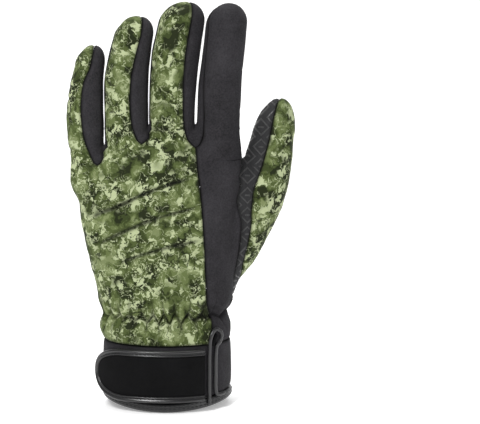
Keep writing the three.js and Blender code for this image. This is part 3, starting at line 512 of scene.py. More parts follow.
        def at(z: Array) -> tuple[Array, Array, Array]:
            """Reads the line at heights."""
            settle = smooth_step((z - start) / (fork.palm_z - start))
            free = mix(self.palm_edge(np.minimum(z, self.web_foot))[0], self.side(z)[0], share)
            return mix(free, fork.gap_x, settle), np.zeros_like(z), np.full_like(z, 180.0)

        return at

    def palm_side(self, z: Array) -> tuple[Array, Array, Array]:
        """The little finger's side seam, met from the palm."""
        x, y, angle = self.side(z)
        return x, y, angle + 360


# cloth as welded sheets

def weld(points: Array, cells: Array) -> tuple[Array, Array]:
    """Merges points that are closer than 4 micrometres.

    Args:
        points: N by 3 positions in millimetres.
        cells: M by k indices into them.

    Returns:
        The index of one point for each merged place, and the cells renumbered to those places.
    """
    grid = np.round(points / 0.004).astype(np.int64) + 2**19
    keys = (grid[:, 0] << 42) + (grid[:, 1] << 21) + grid[:, 2]
    _, first, back = np.unique(keys, return_index=True, return_inverse=True)
    return first, back.reshape(-1)[cells]


def split(points: Array, quads: Array) -> Array:
    """Cuts quads along their shorter diagonal and drops triangles that have no area."""
    a, b, c, d = quads.T
    short = np.linalg.norm(points[a] - points[c], axis=1) < np.linalg.norm(points[b] - points[d], axis=1)
    one = np.where(short[:, None], np.stack([a, b, c], 1), np.stack([a, b, d], 1))
    two = np.where(short[:, None], np.stack([a, c, d], 1), np.stack([b, c, d], 1))
    tris = np.concatenate([one, two])
    return tris[(tris[:, 0] != tris[:, 1]) & (tris[:, 1] != tris[:, 2]) & (tris[:, 2] != tris[:, 0])]


def free_edges(tris: Array, count: int) -> Array:
    """The directed edges that only one triangle uses, as pairs of indices."""
    edges = np.concatenate([tris[:, [0, 1]], tris[:, [1, 2]], tris[:, [2, 0]]])
    there, back = edges[:, 0] * count + edges[:, 1], edges[:, 1] * count + edges[:, 0]
    return edges[~np.isin(there, back)]


def nearest(points: Array, marks: Array) -> Array:
    """Distance from each point to the nearest mark, worked out in blocks."""
    found = np.empty(len(points))
    square = (marks**2).sum(1)
    for start in range(0, len(points), 4000):
        block = points[start:start + 4000]
        gap = (block**2).sum(1)[:, None] + square[None] - 2 * block @ marks.T
        found[start:start + 4000] = np.sqrt(np.maximum(gap.min(1), 0))
    return found


def put_mesh(name: str, points: Array, tris: Array,
             marks: dict[str, Array] | None = None) -> bpy.types.Object:
    """Makes a smooth-shaded object from millimetre points and triangles, riding on the glove's body.

    Args:
        name: the piece's name.
        points: N by 3 positions in millimetres.
        tris: M by 3 indices.
        marks: values at each point to keep as attributes, by name.

    Returns:
        The object, at the origin.
    """
    mesh = bpy.data.meshes.new(name)
    mesh.from_pydata((points * MM).tolist(), [], tris.tolist())
    for key, values in (marks or {}).items():
        mesh.attributes.new(key, "FLOAT", "POINT").data.foreach_set("value", values.astype(np.float32))
    mesh.polygons.foreach_set("use_smooth", np.ones(len(mesh.polygons), bool))
    mesh.update()
    piece = bpy.data.objects.new(name, mesh)
    bpy.context.collection.objects.link(piece)
    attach(piece, "root")
    LOG.info("%s: %d triangles", name, len(tris))
    return piece


@dataclass(frozen=True)
class SeamEdge:
    """How a sheet's free edges look: drawn back, rolled down into the seam, with a stitched line."""

    gap: float = 0.16
    roll_depth: float = 0.8
    roll_width: float = 1.1
    stitch_at: float = 2.3
    stitch_depth: float = 0.16

    def drop(self, distance: Array) -> Array:
        """How far the cloth sinks at a distance from its seam: the roll and the stitched line."""
        return -self.roll_depth * bump(distance, self.roll_width) - self.stitch_depth * bump(
            distance - self.stitch_at, 0.45)


class Sheet:
    """A sheet of cloth: points with outward normals, welded from grids, then given its wall."""

    def __init__(self) -> None:
        """Starts an empty sheet."""
        self._points: list[Array] = []
        self._normals: list[Array] = []
        self._quads: list[Array] = []
        self._count = 0

    def add(self, points: Array, normals: Array) -> "Sheet":
        """Adds a grid of points, wound so that most of its cells face along their normals."""
        rows, columns = points.shape[:2]
        ids = self._count + np.arange(rows * columns).reshape(rows, columns)
        quads = np.stack([ids[:-1, :-1], ids[:-1, 1:], ids[1:, 1:], ids[1:, :-1]], axis=-1).reshape(-1, 4)
        across = points[:-1, 1:] - points[:-1, :-1]
        along = points[1:, :-1] - points[:-1, :-1]
        if (np.cross(across, along) * normals[:-1, :-1]).sum() < 0:
            quads = quads[:, ::-1]
        self._points.append(points.reshape(-1, 3))
        self._normals.append(normals.reshape(-1, 3))
        self._quads.append(quads)
        self._count += rows * columns
        return self

    def close(self) -> "Sheet":
        """Welds the grids into one list of points and triangles and finds the free edges."""
        points, normals = np.concatenate(self._points), np.concatenate(self._normals)
        first, quads = weld(points, np.concatenate(self._quads))
        self.points, self.normals = points[first], unit(normals[first])
        self.tris = split(self.points, quads)
        self.edges = free_edges(self.tris, len(self.points))
        return self

    def area(self) -> float:
        """The sheet's one-sided area in square metres."""
        a, b, c = (self.points[self.tris[:, i]] for i in range(3))
        return float(np.linalg.norm(np.cross(b - a, c - a), axis=1).sum() / 2) * MM * MM

    def pulls(self) -> Array:
        """At each free point the unit way back into the sheet, and nothing elsewhere."""
        a, b = self.edges.T
        way = unit(self.points[b] - self.points[a])
        pull = np.zeros_like(self.points)
        for end in (a, b):
            np.add.at(pull, end, unit(np.cross(self.normals[end], way)))
        length = np.linalg.norm(pull, axis=1, keepdims=True)
        return np.where(length > 0.2, pull / np.maximum(length, 0.2), 0.0)

    def solid(self, name: str, wall: float, edge: SeamEdge,
              relief: "Folds | None" = None) -> bpy.types.Object:
        """Gives the sheet its folds, rolled edges and inner side, and makes the piece.

        Args:
            name: the piece's name.
            wall: how thick the cloth is.
            edge: how its free edges look.
            relief: folds whose height is added along the normals.

        Returns:
            The closed piece, with each point's distance to a seam as its "seam" attribute and its fold depth
            for painted shade as "hollow".
        """
        marks = np.concatenate([self.points[self.edges].reshape(-1, 3), self.points[self.edges].mean(1)])
        distance = nearest(self.points, marks)
        pull = self.pulls()
        # Fold depth is kept for the painted shade in narrow folds.
        hollow = folds = np.zeros(len(distance))
        if relief is not None:
            folds, hollow = relief(self.points, self.normals), relief.hollow(self.points, self.normals)
        height = edge.drop(distance) + folds
        outer = self.points + self.normals * height[:, None] + pull * edge.gap
        inner = self.points + self.normals * (np.minimum(folds, 0) - wall)[:, None] + pull * (edge.gap + 0.5)
        n = len(self.points)
        a, b = self.edges.T
        rims = np.concatenate([np.stack([b, a, a + n], 1), np.stack([b, a + n, b + n], 1)])
        tris = np.concatenate([self.tris, self.tris[:, ::-1] + n, rims])
        marks = {"seam": np.concatenate([distance, np.zeros(n)]) * MM, "hollow": np.tile(hollow, 2)}
        return put_mesh(name, np.concatenate([outer, inner]), tris, marks)


@dataclass(frozen=True)
class Columns:
    """One group of a panel's columns: from a left track to a right one, up a finger if it has one."""

    left: Track
    right: Track
    count: int
    low: float
    tube: Tube | None = None
    top: float = 0.0
    left_crest: Fork | None = None
    right_crest: Fork | None = None


class Weaver:
    """Lays panels on the hand's form: rows of heights shared by all panels, rays between seams."""

    def __init__(self, form: HandForm, seams: Seams, pitch: float) -> None:
        """Makes the shared rows, a pitch apart, with every fork and the web exactly on one.

        Args:
            form: the filled hand.
            seams: the glove's seams.
            pitch: millimetres between rows.
        """
        self.form, self.seams, self.pitch = form, seams, pitch
        forks = seams.forks
        self.floor = form.sizes.cuff_height + 0.15
        self.highest = max(fork.top_z for fork in forks)
        fixed = np.array([self.floor, seams.thenar_z, seams.web_top, *(f.bottom_z for f in forks),
                          *(f.palm_z for f in forks), *(f.top_z for f in forks)])
        free = np.arange(self.floor, self.highest, pitch)
        free = free[np.abs(free[:, None] - fixed[None]).min(1) > 0.4 * pitch]
        self.rows = np.unique(np.concatenate([free, fixed]))

    def heights(self, group: Columns) -> Array:
        """The rows of one group: the shared ones up to the forks, then evenly to the round end."""
        top = self.highest if group.tube is not None and not group.top else group.top
        shared = self.rows[(self.rows > group.low - 1e-6) & (self.rows < top + 1e-6)]
        if group.tube is None:
            return shared
        count = max(int(round((group.tube.cap_z - shared[-1]) / self.pitch)), 2)
        return np.concatenate([shared, np.linspace(shared[-1], group.tube.cap_z, count + 1)[1:]])

    def lay(self, group: Columns) -> tuple[Array, Array]:
        """Casts a group's rays, row by row and then over the round end.

        Args:
            group: the columns to lay.

        Returns:
            Grids of surface points and of outward normals.
        """
        z = self.heights(group)
        u = np.linspace(0, 1, group.count + 1)[None, :]
        left, right = group.left(z), group.right(z)
        x, y, angle = (mix(a[:, None], b[:, None], u) for a, b in zip(left, right))
        origin = np.stack([x, y, np.broadcast_to(z[:, None], x.shape)], axis=-1)
        way = compass(angle)
        for crest, column in ((group.left_crest, 0), (group.right_crest, -1)):
            if crest is not None:
                row = np.abs(z - crest.top_z) < 1e-6
                origin[row, column] = (crest.gap_x, 0.0, crest.top_z - 1.5)
                way[row, column] = (0.0, 0.0, 1.0)
        origin, way = self._web_crest(z, origin, way, group)
        if group.tube is not None:
            more = self._round_end(group.tube, u, left, right)
            origin, way = np.concatenate([origin, more[0]]), np.concatenate([way, more[1]])
        points = self.form.leave(origin, way)
        return points, self.form.normals(points)

    def _web_crest(self, z: Array, origin: Array, way: Array, group: Columns) -> tuple[Array, Array]:
        """Turns the rays of a track that crosses the thumb's web straight up at the web's top."""
        seams = self.seams
        over = (seams.strip_edge, seams.thumb_front_edge, seams.thumb_palm_edge, seams.palm_edge)
        row = np.abs(z - seams.web_top) < 1e-6
        for track, column in ((group.left, 0), (group.right, -1)):
            if any(track is one for one in over):
                origin[row, column] = (seams.web_x, seams.web_y, seams.web_top - 1.5)
                way[row, column] = (0.0, 0.0, 1.0)
        return origin, way

    def _round_end(self, tube: Tube, u: Array, left: tuple, right: tuple) -> tuple[Array, Array]:
        """Rays that swing from level to the tube's pole as they climb the round end."""
        z = tube.cap_z
        climb = np.radians(np.linspace(0, 90, max(int(tube.tip_length * 1.3 / self.pitch), 6))[1:])[:, None]
        keep = np.maximum(np.cos(climb), 0)
        x, y, angle = (mix(a[-1], b[-1], u) for a, b in zip(left, right))
        cx, cy = float(tube.x(z)), float(tube.y(z))
        origin = np.stack([mix(cx, x, keep), mix(cy, y, keep), np.full((len(climb), u.shape[1]), z)], axis=-1)
        level = compass(angle) * (keep * float(tube.half_width(z)))[..., None]
        return origin, unit(level + (np.sin(climb) * tube.tip_length)[..., None] * tube.pole())

    def sheet(self, groups: Iterable[Columns]) -> Sheet:
        """Lays every group of a panel and welds them."""
        whole = Sheet()
        for group in groups:
            whole.add(*self.lay(group))
        return whole.close()


# folds

@dataclass(frozen=True)
class Pleat:
    """A long fold: its ends as shares of the knuckles' width and the palm's length, depth and width."""

    from_x: float
    from_z: float
    to_x: float
    to_z: float
    depth: float
    width: float = 2.4
    sag: float = 0.0


@dataclass(frozen=True)
class Folds:
    """The cloth's folds as heights along its normals, in millimetres."""

    form: HandForm
    ruffle_depth: float = 1.3
    gather_depth: float = 1.6
    folds_round: int = 30
    zigzag: float = 4.2
    pleats: tuple[Pleat, ...] = ()
    wrinkle_depth: float = 0.22
    wrinkle_size: float = 9.0
    creases: tuple[tuple[int, float, float], ...] = ()
    seed: int = 4

    def round_wrist(self, p: Array) -> Array:
        """The turn round the wrist in radians, on the cuff's oval."""
        s = self.form.sizes
        return np.arctan2(p[:, 0] / s.cuff_width, -p[:, 1] / s.cuff_depth)

    def wave(self, p: Array) -> tuple[Array, Array, Array]:
        """Where points stand among the folds at the elastic.

        Args:
            p: points in millimetres.

        Returns:
            The row of folds from 0 to 1 and back, the height over the zigzag where the upper folds
            meet the lower ones, and how far the folds have opened on their way from it.
        """
        s = self.form.sizes
        turn = self.round_wrist(p)
        up = p[:, 2] - s.gather_z
        away = np.abs(up) / np.where(up > 0, 1.15 * s.ruffle_height, 0.85 * s.ruffle_height)
        phase = self.folds_round * turn + 0.9 * np.sin(3 * turn + 1) + 0.6 * np.sin(7 * turn)
        phase = phase + np.where(up > 0, 1.6, -1.3) * away * np.sin(5 * turn + 2)
        row = 2 * np.abs(phase / (2 * np.pi) % 1 - 0.5)
        return row, up - self.zigzag * (row - 0.5) * (1 + 0.4 * np.sin(4 * turn + 1)), away

    def ruffle(self, p: Array) -> Array:
        """Pillows over and under the zigzag, and the groove that the elastic draws in along it."""
        row, over, away = self.wave(p)
        turn = self.round_wrist(p)
        pillow = 1.7 * np.sin(np.pi / 2 * np.where(over > 0, 1 - row, row)) ** 0.7 - 1.0
        strength = 0.8 + 0.35 * np.sin(4 * turn + 0.7) * np.sin(9 * turn)
        open_ = smooth_step(np.abs(over) / 2.5) * (1 - smooth_step(away * 1.1 - 0.1))
        return self.ruffle_depth * strength * open_ * pillow - self.gather_depth * bump(over, 1.3)

    def pleat(self, p: Array, n: Array) -> Array:
        """Long valleys with a soft ridge beside them, over the back only."""
        s = self.form.sizes
        total = np.zeros(len(p))
        for one in self.pleats:
            ax, az = one.from_x * s.knuckle_width, s.gather_z + one.from_z * s.palm_length
            dx, dz = one.to_x * s.knuckle_width - ax, (one.to_z - one.from_z) * s.palm_length
            t = ((p[:, 0] - ax) * dx + (p[:, 2] - az) * dz) / (dx * dx + dz * dz)
            off = ((p[:, 0] - ax) * dz - (p[:, 2] - az) * dx) / math.hypot(dx, dz)
            off = off + one.sag * np.sin(np.pi * np.clip(t, 0, 1))
            ends = smooth_step((t + 0.08) / 0.25) * smooth_step((1.08 - t) / 0.25)
            fold = bump(off, one.width) - 0.55 * bump(off + 2.1 * one.width, 1.6 * one.width)
            total -= one.depth * ends * fold
        return total * smooth_step(-1.5 * n[:, 1])

    def crease(self, p: Array) -> Array:
        """Cross creases at finger joints: finger, share of its length and depth in each row."""
        s = self.form.sizes
        total = np.zeros(len(p))
        for finger, share, depth in self.creases:
            tube = self.form.fingers[finger]
            z = s.knuckle_z + share * tube.length
            near = np.abs(p[:, 0] - tube.x(p[:, 2])) < 0.62 * tube.width
            tilt = 0.12 * (p[:, 0] - tube.x(p[:, 2]))
            total -= np.where(near, depth * bump(p[:, 2] - z - tilt, 1.5), 0)
        return total

    def wrinkle(self, p: Array) -> Array:
        """Slight unevenness: a sum of waves in seeded directions."""
        rng = np.random.default_rng(self.seed)
        total = np.zeros(len(p))
        for _ in range(12):
            way = unit(rng.normal(size=3))
            size = self.wrinkle_size * rng.uniform(0.6, 2.0)
            total += np.sin(p @ way * 2 * np.pi / size + rng.uniform(0, 6.3)) / 12
        return 2.6 * self.wrinkle_depth * total

    def hollow(self, p: Array, n: Array) -> Array:
        """How deep points lie in a narrow fold, from 0 to 1, for the painted shade in it."""
        row, over, away = self.wave(p)
        crease = np.where(over > 0, 1 - row, row) * np.pi * self.form.sizes.cuff_width / self.folds_round
        fade = smooth_step(1.3 - 1.5 * away)
        gathered = np.maximum(bump(over, 1.1), 0.95 * bump(crease, 1.1) * fade) * min(self.gather_depth, 1.0)
        folded = np.clip(-0.75 * (self.pleat(p, n) + self.crease(p)) - 0.15, 0, 1) ** 1.5
        return np.maximum(gathered, folded)

    def __call__(self, p: Array, n: Array) -> Array:
        """All the folds together at points with normals."""
        return self.ruffle(p) + self.pleat(p, n) + self.crease(p) + self.wrinkle(p)


# finishes

class Nodes:
    """Adds nodes to one tree, links what is given as sockets and sets the rest."""

    def __init__(self, tree: bpy.types.NodeTree) -> None:
        """Works on a tree."""
        self.tree = tree

    def add(self, kind: str, values: dict | None = None, **settings: object) -> bpy.types.Node:
        """Adds a node.

        Args:
            kind: the node's type.
            values: input name or index to a socket to link or a value to set.
            settings: the node's own settings.

        Returns:
            The node.
        """
        node = self.tree.nodes.new(kind)
        for key, value in settings.items():
            setattr(node, key, value)
        return self.feed(node, values or {})

    def feed(self, node: bpy.types.Node, values: dict) -> bpy.types.Node:
        """Links or sets a node's inputs, by name or index, and gives the node back."""
        for key, value in values.items():
            if isinstance(value, bpy.types.NodeSocket):
                self.tree.links.new(value, node.inputs[key])
            else:
                node.inputs[key].default_value = value
        return node

    def math(self, operation: str, a: object, b: object = 0.0, c: object = 0.0) -> bpy.types.NodeSocket:
        """One arithmetic step on numbers or sockets."""
        return self.add("ShaderNodeMath", {0: a, 1: b, 2: c}, operation=operation).outputs[0]

    def noise(self, vector: object, scale: float, detail: float = 2.0, rough: float = 0.5,
              distortion: float = 0.0) -> bpy.types.NodeSocket:
        """Fractal noise over a vector, from about 0 to 1."""
        return self.add("ShaderNodeTexNoise", {"Vector": vector, "Scale": scale, "Detail": detail,
                                               "Roughness": rough, "Distortion": distortion}).outputs[0]

    def ramp(self, value: object, stops: Sequence[tuple[float, Sequence[float]]],
             how: str = "LINEAR") -> bpy.types.NodeSocket:
        """A colour ramp through stops of place and linear RGB."""
        node = self.add("ShaderNodeValToRGB", {0: value})
        node.color_ramp.interpolation = how
        elements = node.color_ramp.elements
        while len(elements) < len(stops):
            elements.new(0.5)
        for element, (place, colour) in zip(elements, stops):
            element.position = place
            element.color = (*colour, 1.0)
        return node.outputs[0]

    def between(self, low: float, high: float, value: object) -> bpy.types.NodeSocket:
        """Rises smoothly from 0 to 1 as a value goes from low to high."""
        return self.add("ShaderNodeMapRange", {0: value, 1: low, 2: high},
                        interpolation_type="SMOOTHSTEP").outputs[0]

    def mix(self, share: object, a: object, b: object, blend: str = "MIX") -> bpy.types.NodeSocket:
        """Blends two colours by a share."""
        return self.add("ShaderNodeMix", {0: share, 6: a, 7: b}, data_type="RGBA",
                        blend_type=blend).outputs[2]

    def shift(self, vector: object, offset: Sequence[float], scale: Sequence[float] = (1, 1, 1),
              turn: Sequence[float] = (0, 0, 0)) -> bpy.types.NodeSocket:
        """Moves, turns and scales a pattern's vector."""
        return self.add("ShaderNodeMapping", {"Vector": vector, "Location": offset, "Rotation": turn,
                                              "Scale": scale}).outputs[0]


def grey(value: float) -> tuple[float, float, float, float]:
    """A neutral colour with full alpha."""
    return (value, value, value, 1.0)


class Effects:
    """Node groups that several finishes share: knit, mottling and the mask for painted shade along seams."""

    def __init__(self) -> None:
        """Builds every group once."""
        self.knit = self._knit()
        self.mottle = self._mottle()
        self.seam = self._seam()

    @staticmethod
    def _start(name: str, inputs: Sequence[tuple[str, str]], output: tuple[str, str]) -> tuple:
        """Opens a group with named sockets."""
        tree = bpy.data.node_groups.new(name, "ShaderNodeTree")
        for label, kind in inputs:
            tree.interface.new_socket(label, in_out="INPUT", socket_type=kind)
        tree.interface.new_socket(output[0], in_out="OUTPUT", socket_type=output[1])
        nodes = Nodes(tree)
        return tree, nodes, nodes.add("NodeGroupInput").outputs, nodes.add("NodeGroupOutput").inputs

    def _knit(self) -> bpy.types.NodeTree:
        """Rows of small stitches: waves up and across, each other row shifted by half a stitch."""
        tree, n, given, out = self._start(
            "fine_knit", [("Vector", "NodeSocketVector"), ("Stitches", "NodeSocketFloat")],
            ("Height", "NodeSocketFloat"))
        wobble = n.noise(given["Vector"], 300.0, 1.0)
        parts = n.add("ShaderNodeSeparateXYZ", {0: given["Vector"]}).outputs
        across = n.math("ADD", parts[0], n.math("MULTIPLY", parts[1], 0.8))
        across = n.math("MULTIPLY_ADD", wobble, 0.0006, across)
        up = n.math("SINE", n.math("MULTIPLY", n.math("MULTIPLY", parts[2], given["Stitches"]), 6.283))
        side = n.math("SINE", n.math("MULTIPLY", n.math("MULTIPLY", across, given["Stitches"]), 6.283))
        tree.links.new(n.math("MULTIPLY_ADD", n.math("MULTIPLY", up, side), 0.5, 0.5), out["Height"])
        return tree

    def _mottle(self) -> bpy.types.NodeTree:
        """Cloudy darkening and lightening of a colour at two scales."""
        tree, n, given, out = self._start(
            "cloth_mottle", [("Vector", "NodeSocketVector"), ("Colour", "NodeSocketColor"),
                             ("Amount", "NodeSocketFloat")], ("Colour", "NodeSocketColor"))
        broad = n.noise(given["Vector"], 45.0, 3.0, 0.6)
        fine = n.noise(given["Vector"], 900.0, 2.0, 0.7)
        sum_ = n.math("ADD", n.math("SUBTRACT", broad, 0.5), n.math("SUBTRACT", fine, 0.5))
        gain = n.math("MULTIPLY_ADD", n.math("MULTIPLY", sum_, given["Amount"]), 2.0, 1.0)
        scaled = n.add("ShaderNodeVectorMath", {0: given["Colour"], 3: gain}, operation="SCALE").outputs[0]
        tree.links.new(scaled, out["Colour"])
        return tree

    def _seam(self) -> bpy.types.NodeTree:
        """A mask for painted shade: 1 in a seam and fading out over a width, from the distance kept on the
        mesh.
        """
        tree, n, given, out = self._start(
            "seam_shade", [("Distance", "NodeSocketFloat"), ("Width", "NodeSocketFloat")],
            ("Mask", "NodeSocketFloat"))
        share = n.math("DIVIDE", given["Distance"], given["Width"])
        tree.links.new(n.math("POWER", n.math("SUBTRACT", 1.0, n.math("MINIMUM", share, 1.0)), 1.6),
                       out["Mask"])
        return tree


@dataclass(frozen=True)
class Finish:
    """A cloth finish: colour, gloss, knit and how dark the painted shade in its seams and narrow folds is."""

    name: str
    colour: tuple[float, float, float]
    roughness: float = 0.85
    knit_per_m: float = 1100.0
    knit_height: float = 0.00006
    mottle: float = 0.25
    seam_painted_shade: float = 0.6
    specular: float = 0.12
    slot: str = "neoprene"
    sheen: float = 0.02
    fold_painted_shade: float = 0.74

    def paint(self, n: Nodes, spot: bpy.types.NodeSocket) -> object:
        """The finish's base colour before mottling and the painted shade in seams and folds, as a value or a
        socket.
        """
        return (*self.colour, 1.0)

    def relief(self, n: Nodes, spot: bpy.types.NodeSocket) -> tuple[object, object]:
        """Height in metres of what stands on the cloth, and the mask where it is glossy."""
        return 0.0, 0.0

    def build(self, effects: Effects) -> bpy.types.Material:
        """Makes the material from the shared groups and the finish's own paint and relief."""
        material = bpy.data.materials.new(self.name)
        material.use_nodes = True
        tree = material.node_tree
        tree.nodes.clear()
        n = Nodes(tree)
        spot = n.add("ShaderNodeTexCoord").outputs["Object"]
        colour = n.add("ShaderNodeGroup", node_tree=effects.mottle)
        n.feed(colour, {"Vector": spot, "Colour": self.paint(n, spot), "Amount": self.mottle})
        distance = n.add("ShaderNodeAttribute", attribute_name="seam").outputs["Fac"]
        seam = n.feed(n.add("ShaderNodeGroup", node_tree=effects.seam),
                      {"Distance": distance, "Width": SEAM_SHADE_WIDTH})
        # Painted shade along seams: the seam mask darkens the colour toward near black.
        shade = n.math("MULTIPLY", seam.outputs[0], self.seam_painted_shade)
        # Painted shade in narrow folds: the hollow attribute darkens the colour toward near black.
        hollow = n.add("ShaderNodeAttribute", attribute_name="hollow").outputs["Fac"]
        shade = n.math("MAXIMUM", shade, n.math("MULTIPLY", hollow, self.fold_painted_shade))
        base = n.mix(shade, colour.outputs[0], grey(0.003))
        knit = n.feed(n.add("ShaderNodeGroup", node_tree=effects.knit),
                      {"Vector": spot, "Stitches": self.knit_per_m})
        stands, gloss = self.relief(n, spot)
        height = n.math("MULTIPLY_ADD", knit.outputs[0], self.knit_height, stands)
        normal = n.add("ShaderNodeBump", {"Height": height, "Distance": 1.0, "Strength": 1.0}).outputs[0]
        shader = n.add("ShaderNodeBsdfPrincipled", {
            "Base Color": base, "Normal": normal, "Specular IOR Level": self.specular,
            "Sheen Weight": self.sheen, "Sheen Roughness": 0.5})
        rough = n.math("MULTIPLY_ADD", knit.outputs[0], -0.06, self.roughness)
        tree.links.new(n.math("SUBTRACT", rough, n.math("MULTIPLY", gloss, self.gloss_gain())),
                       shader.inputs["Roughness"])
        tree.links.new(shader.outputs[0], n.add("ShaderNodeOutputMaterial").inputs[0])
        return material

    def gloss_gain(self) -> float:
        """How much smoother the glossy part is than the cloth."""
        return 0.0


@dataclass(frozen=True)
class Camouflage(Finish):
    """A woodland print in greens: soft pale patches, dark hollows and thin twig lines."""

    greens: tuple[tuple[float, float, float], ...] = (
        (0.014, 0.019, 0.005), (0.036, 0.05, 0.013), (0.066, 0.088, 0.026),
        (0.108, 0.138, 0.048), (0.165, 0.2, 0.085),
    )
    places: tuple[float, ...] = (0.0, 0.43, 0.48, 0.53, 0.58)
    pale: tuple[float, float, float] = (0.4, 0.45, 0.26)

    def paint(self, n: Nodes, spot: bpy.types.NodeSocket) -> bpy.types.NodeSocket:
        """Stepped patches of green, a pale web between them in places, then dark spots and twigs."""
        warp = n.add("ShaderNodeTexNoise", {"Vector": spot, "Scale": 170.0, "Detail": 3.0}).outputs["Color"]
        pushed = n.add("ShaderNodeVectorMath", {0: warp, 1: (0.009, 0.009, 0.009), 2: spot},
                       operation="MULTIPLY_ADD").outputs[0]
        broad = n.noise(pushed, 55.0, 2.0, 0.5)
        mid = n.noise(n.shift(pushed, (0.3, 0.1, 0.7)), 125.0, 2.0, 0.55)
        value = n.math("ADD", n.math("MULTIPLY", broad, 0.45), n.math("MULTIPLY", mid, 0.55))
        colour = n.ramp(value, list(zip(self.places, self.greens)), "CONSTANT")
        fine = n.noise(n.shift(spot, (0.9, 0.4, 0.2)), 900.0, 2.0, 0.7)
        web = n.math("ABSOLUTE", n.math(
            "SUBTRACT", n.noise(n.shift(pushed, (0.5, 0.5, 0.1)), 150.0, 2.0, 0.6), 0.5))
        thin = n.math("SUBTRACT", 1.0, n.between(0.008, 0.034, n.math("MULTIPLY_ADD", fine, 0.02, web)))
        blot = n.between(0.545, 0.575, n.noise(n.shift(pushed, (0.1, 0.8, 0.3)), 170.0, 3.0, 0.6))
        where = n.between(0.34, 0.5, n.noise(n.shift(spot, (0.7, 0.2, 0.9)), 60.0, 2.0))
        light = n.math("MULTIPLY", n.math("MAXIMUM", n.math("MULTIPLY", thin, 0.85), blot), where)
        colour = n.mix(light, colour, (*self.pale, 1))
        twigs = n.add("ShaderNodeTexVoronoi", {
            "Vector": n.shift(pushed, (0, 0, 0), (1, 1, 0.45), (0, 0.6, 0)), "Scale": 120.0},
            feature="DISTANCE_TO_EDGE").outputs[0]
        line = n.math("SUBTRACT", 1.0, n.between(0.01, 0.05, twigs))
        patch = n.between(0.53, 0.6, n.noise(n.shift(spot, (0.5, 0.2, 0.1)), 75.0, 2.0))
        dark = n.math("MULTIPLY", n.math("MULTIPLY", line, patch), 0.85)
        return n.mix(dark, colour, (*self.greens[0], 1))


@dataclass(frozen=True)
class GripPrint(Finish):
    """Black cloth with raised glossy lines: staggered diamonds, each with a short bar inside."""

    cell_width: float = 0.0175
    cell_height: float = 0.0125
    line: float = 0.0008
    line_height: float = 0.00045
    # Grey of the printed lines: a painted highlight on the black rubber.
    print_painted_highlight: float = 0.055

    def paint(self, n: Nodes, spot: bpy.types.NodeSocket) -> bpy.types.NodeSocket:
        """Black cloth under its printed lines, which are painted a lighter grey as a painted highlight on the
        glossy black rubber.
        """
        return n.mix(self.printed(n, spot), (*self.colour, 1.0), grey(self.print_painted_highlight))

    def diamond(self, n: Nodes, spot: bpy.types.NodeSocket, shift: float) -> bpy.types.NodeSocket:
        """One lattice of diamonds and bars: distance in the cell from the diamond's outline."""
        parts = n.add("ShaderNodeSeparateXYZ", {0: spot}).outputs
        x = n.math("ADD", n.math("DIVIDE", parts[0], self.cell_width), shift)
        z = n.math("ADD", n.math("DIVIDE", parts[2], self.cell_height), shift)
        across = n.math("ABSOLUTE", n.math("SUBTRACT", n.math("FRACT", x), 0.5))
        up = n.math("ABSOLUTE", n.math("SUBTRACT", n.math("FRACT", z), 0.5))
        reach = n.math("ADD", n.math("MULTIPLY", across, self.cell_width),
                       n.math("MULTIPLY", up, self.cell_height))
        ring = n.math("ABSOLUTE", n.math("SUBTRACT", reach, 0.0049))
        outline = n.math("SUBTRACT", 1.0, n.between(self.line * 0.45, self.line * 0.9, ring))
        bar = n.math("MAXIMUM", n.math("MULTIPLY", across, self.cell_width / 0.0015),
                     n.math("MULTIPLY", up, self.cell_height / 0.0005))
        return n.math("MAXIMUM", outline, n.math("SUBTRACT", 1.0, n.between(0.8, 1.2, bar)))

    def printed(self, n: Nodes, spot: bpy.types.NodeSocket) -> bpy.types.NodeSocket:
        """The mask of the print, worn thin in places."""
        both = n.math("MAXIMUM", self.diamond(n, spot, 0.0), self.diamond(n, spot, 0.5))
        return n.math("MULTIPLY", both, n.between(0.3, 0.42, n.noise(spot, 260.0, 3.0)))

    def relief(self, n: Nodes, spot: bpy.types.NodeSocket) -> tuple[object, object]:
        """The print's height and gloss."""
        mask = self.printed(n, spot)
        return n.math("MULTIPLY", mask, self.line_height), mask

    def gloss_gain(self) -> float:
        """The print is glossy rubber."""
        return 0.5


@dataclass(frozen=True)
class Palette:
    """Every finish of the glove."""

    camouflage: Finish = Camouflage("camouflage_cloth", (0.1, 0.13, 0.05), 0.82, 1300.0, 0.00005, 0.16, 0.75,
                                    0.15, "camouflage_cloth")
    grip: Finish = GripPrint("grip_printed_cloth", (0.016, 0.016, 0.017), 0.75, 1200.0, 0.00005, 0.3, 0.7,
                             0.3, "printed_palm")
    neoprene: Finish = Finish("charcoal_neoprene", (0.027, 0.0255, 0.0285), 0.86, 1500.0, 0.00007, 0.75, 0.85,
                              0.12, "neoprene")
    strap: Finish = Finish("strap_cloth", (0.0055, 0.0055, 0.0058), 0.85, 1800.0, 0.00004, 0.5, 0.3, 0.05,
                           "trim")
    tape: Finish = Finish("binding_tape", (0.0062, 0.0062, 0.0067), 0.33, 1400.0, 0.00002, 0.3, 0.3, 0.62,
                          "trim")
    thread: Finish = Finish("sewing_thread", (0.02, 0.02, 0.021), 0.5, 2500.0, 0.00002, 0.1, 0.0, 0.3, "trim")


# small sewn things

def along(path: Array, out: Array, count: int) -> tuple[Array, Array, Array]:
    """Even points on a smooth curve through a path, with the unit ways along it and off the cloth."""
    steps = np.linalg.norm(np.diff(path, axis=0), axis=1)
    t = np.concatenate([[0], np.cumsum(steps)])
    table = SmoothTable(np.column_stack([t, path, out]))
    even = np.linspace(0, t[-1], count)
    points, away = (np.stack([table(even, first + i) for i in range(3)], axis=-1) for first in (1, 4))
    return points, unit(np.gradient(points, axis=0)), unit(away)


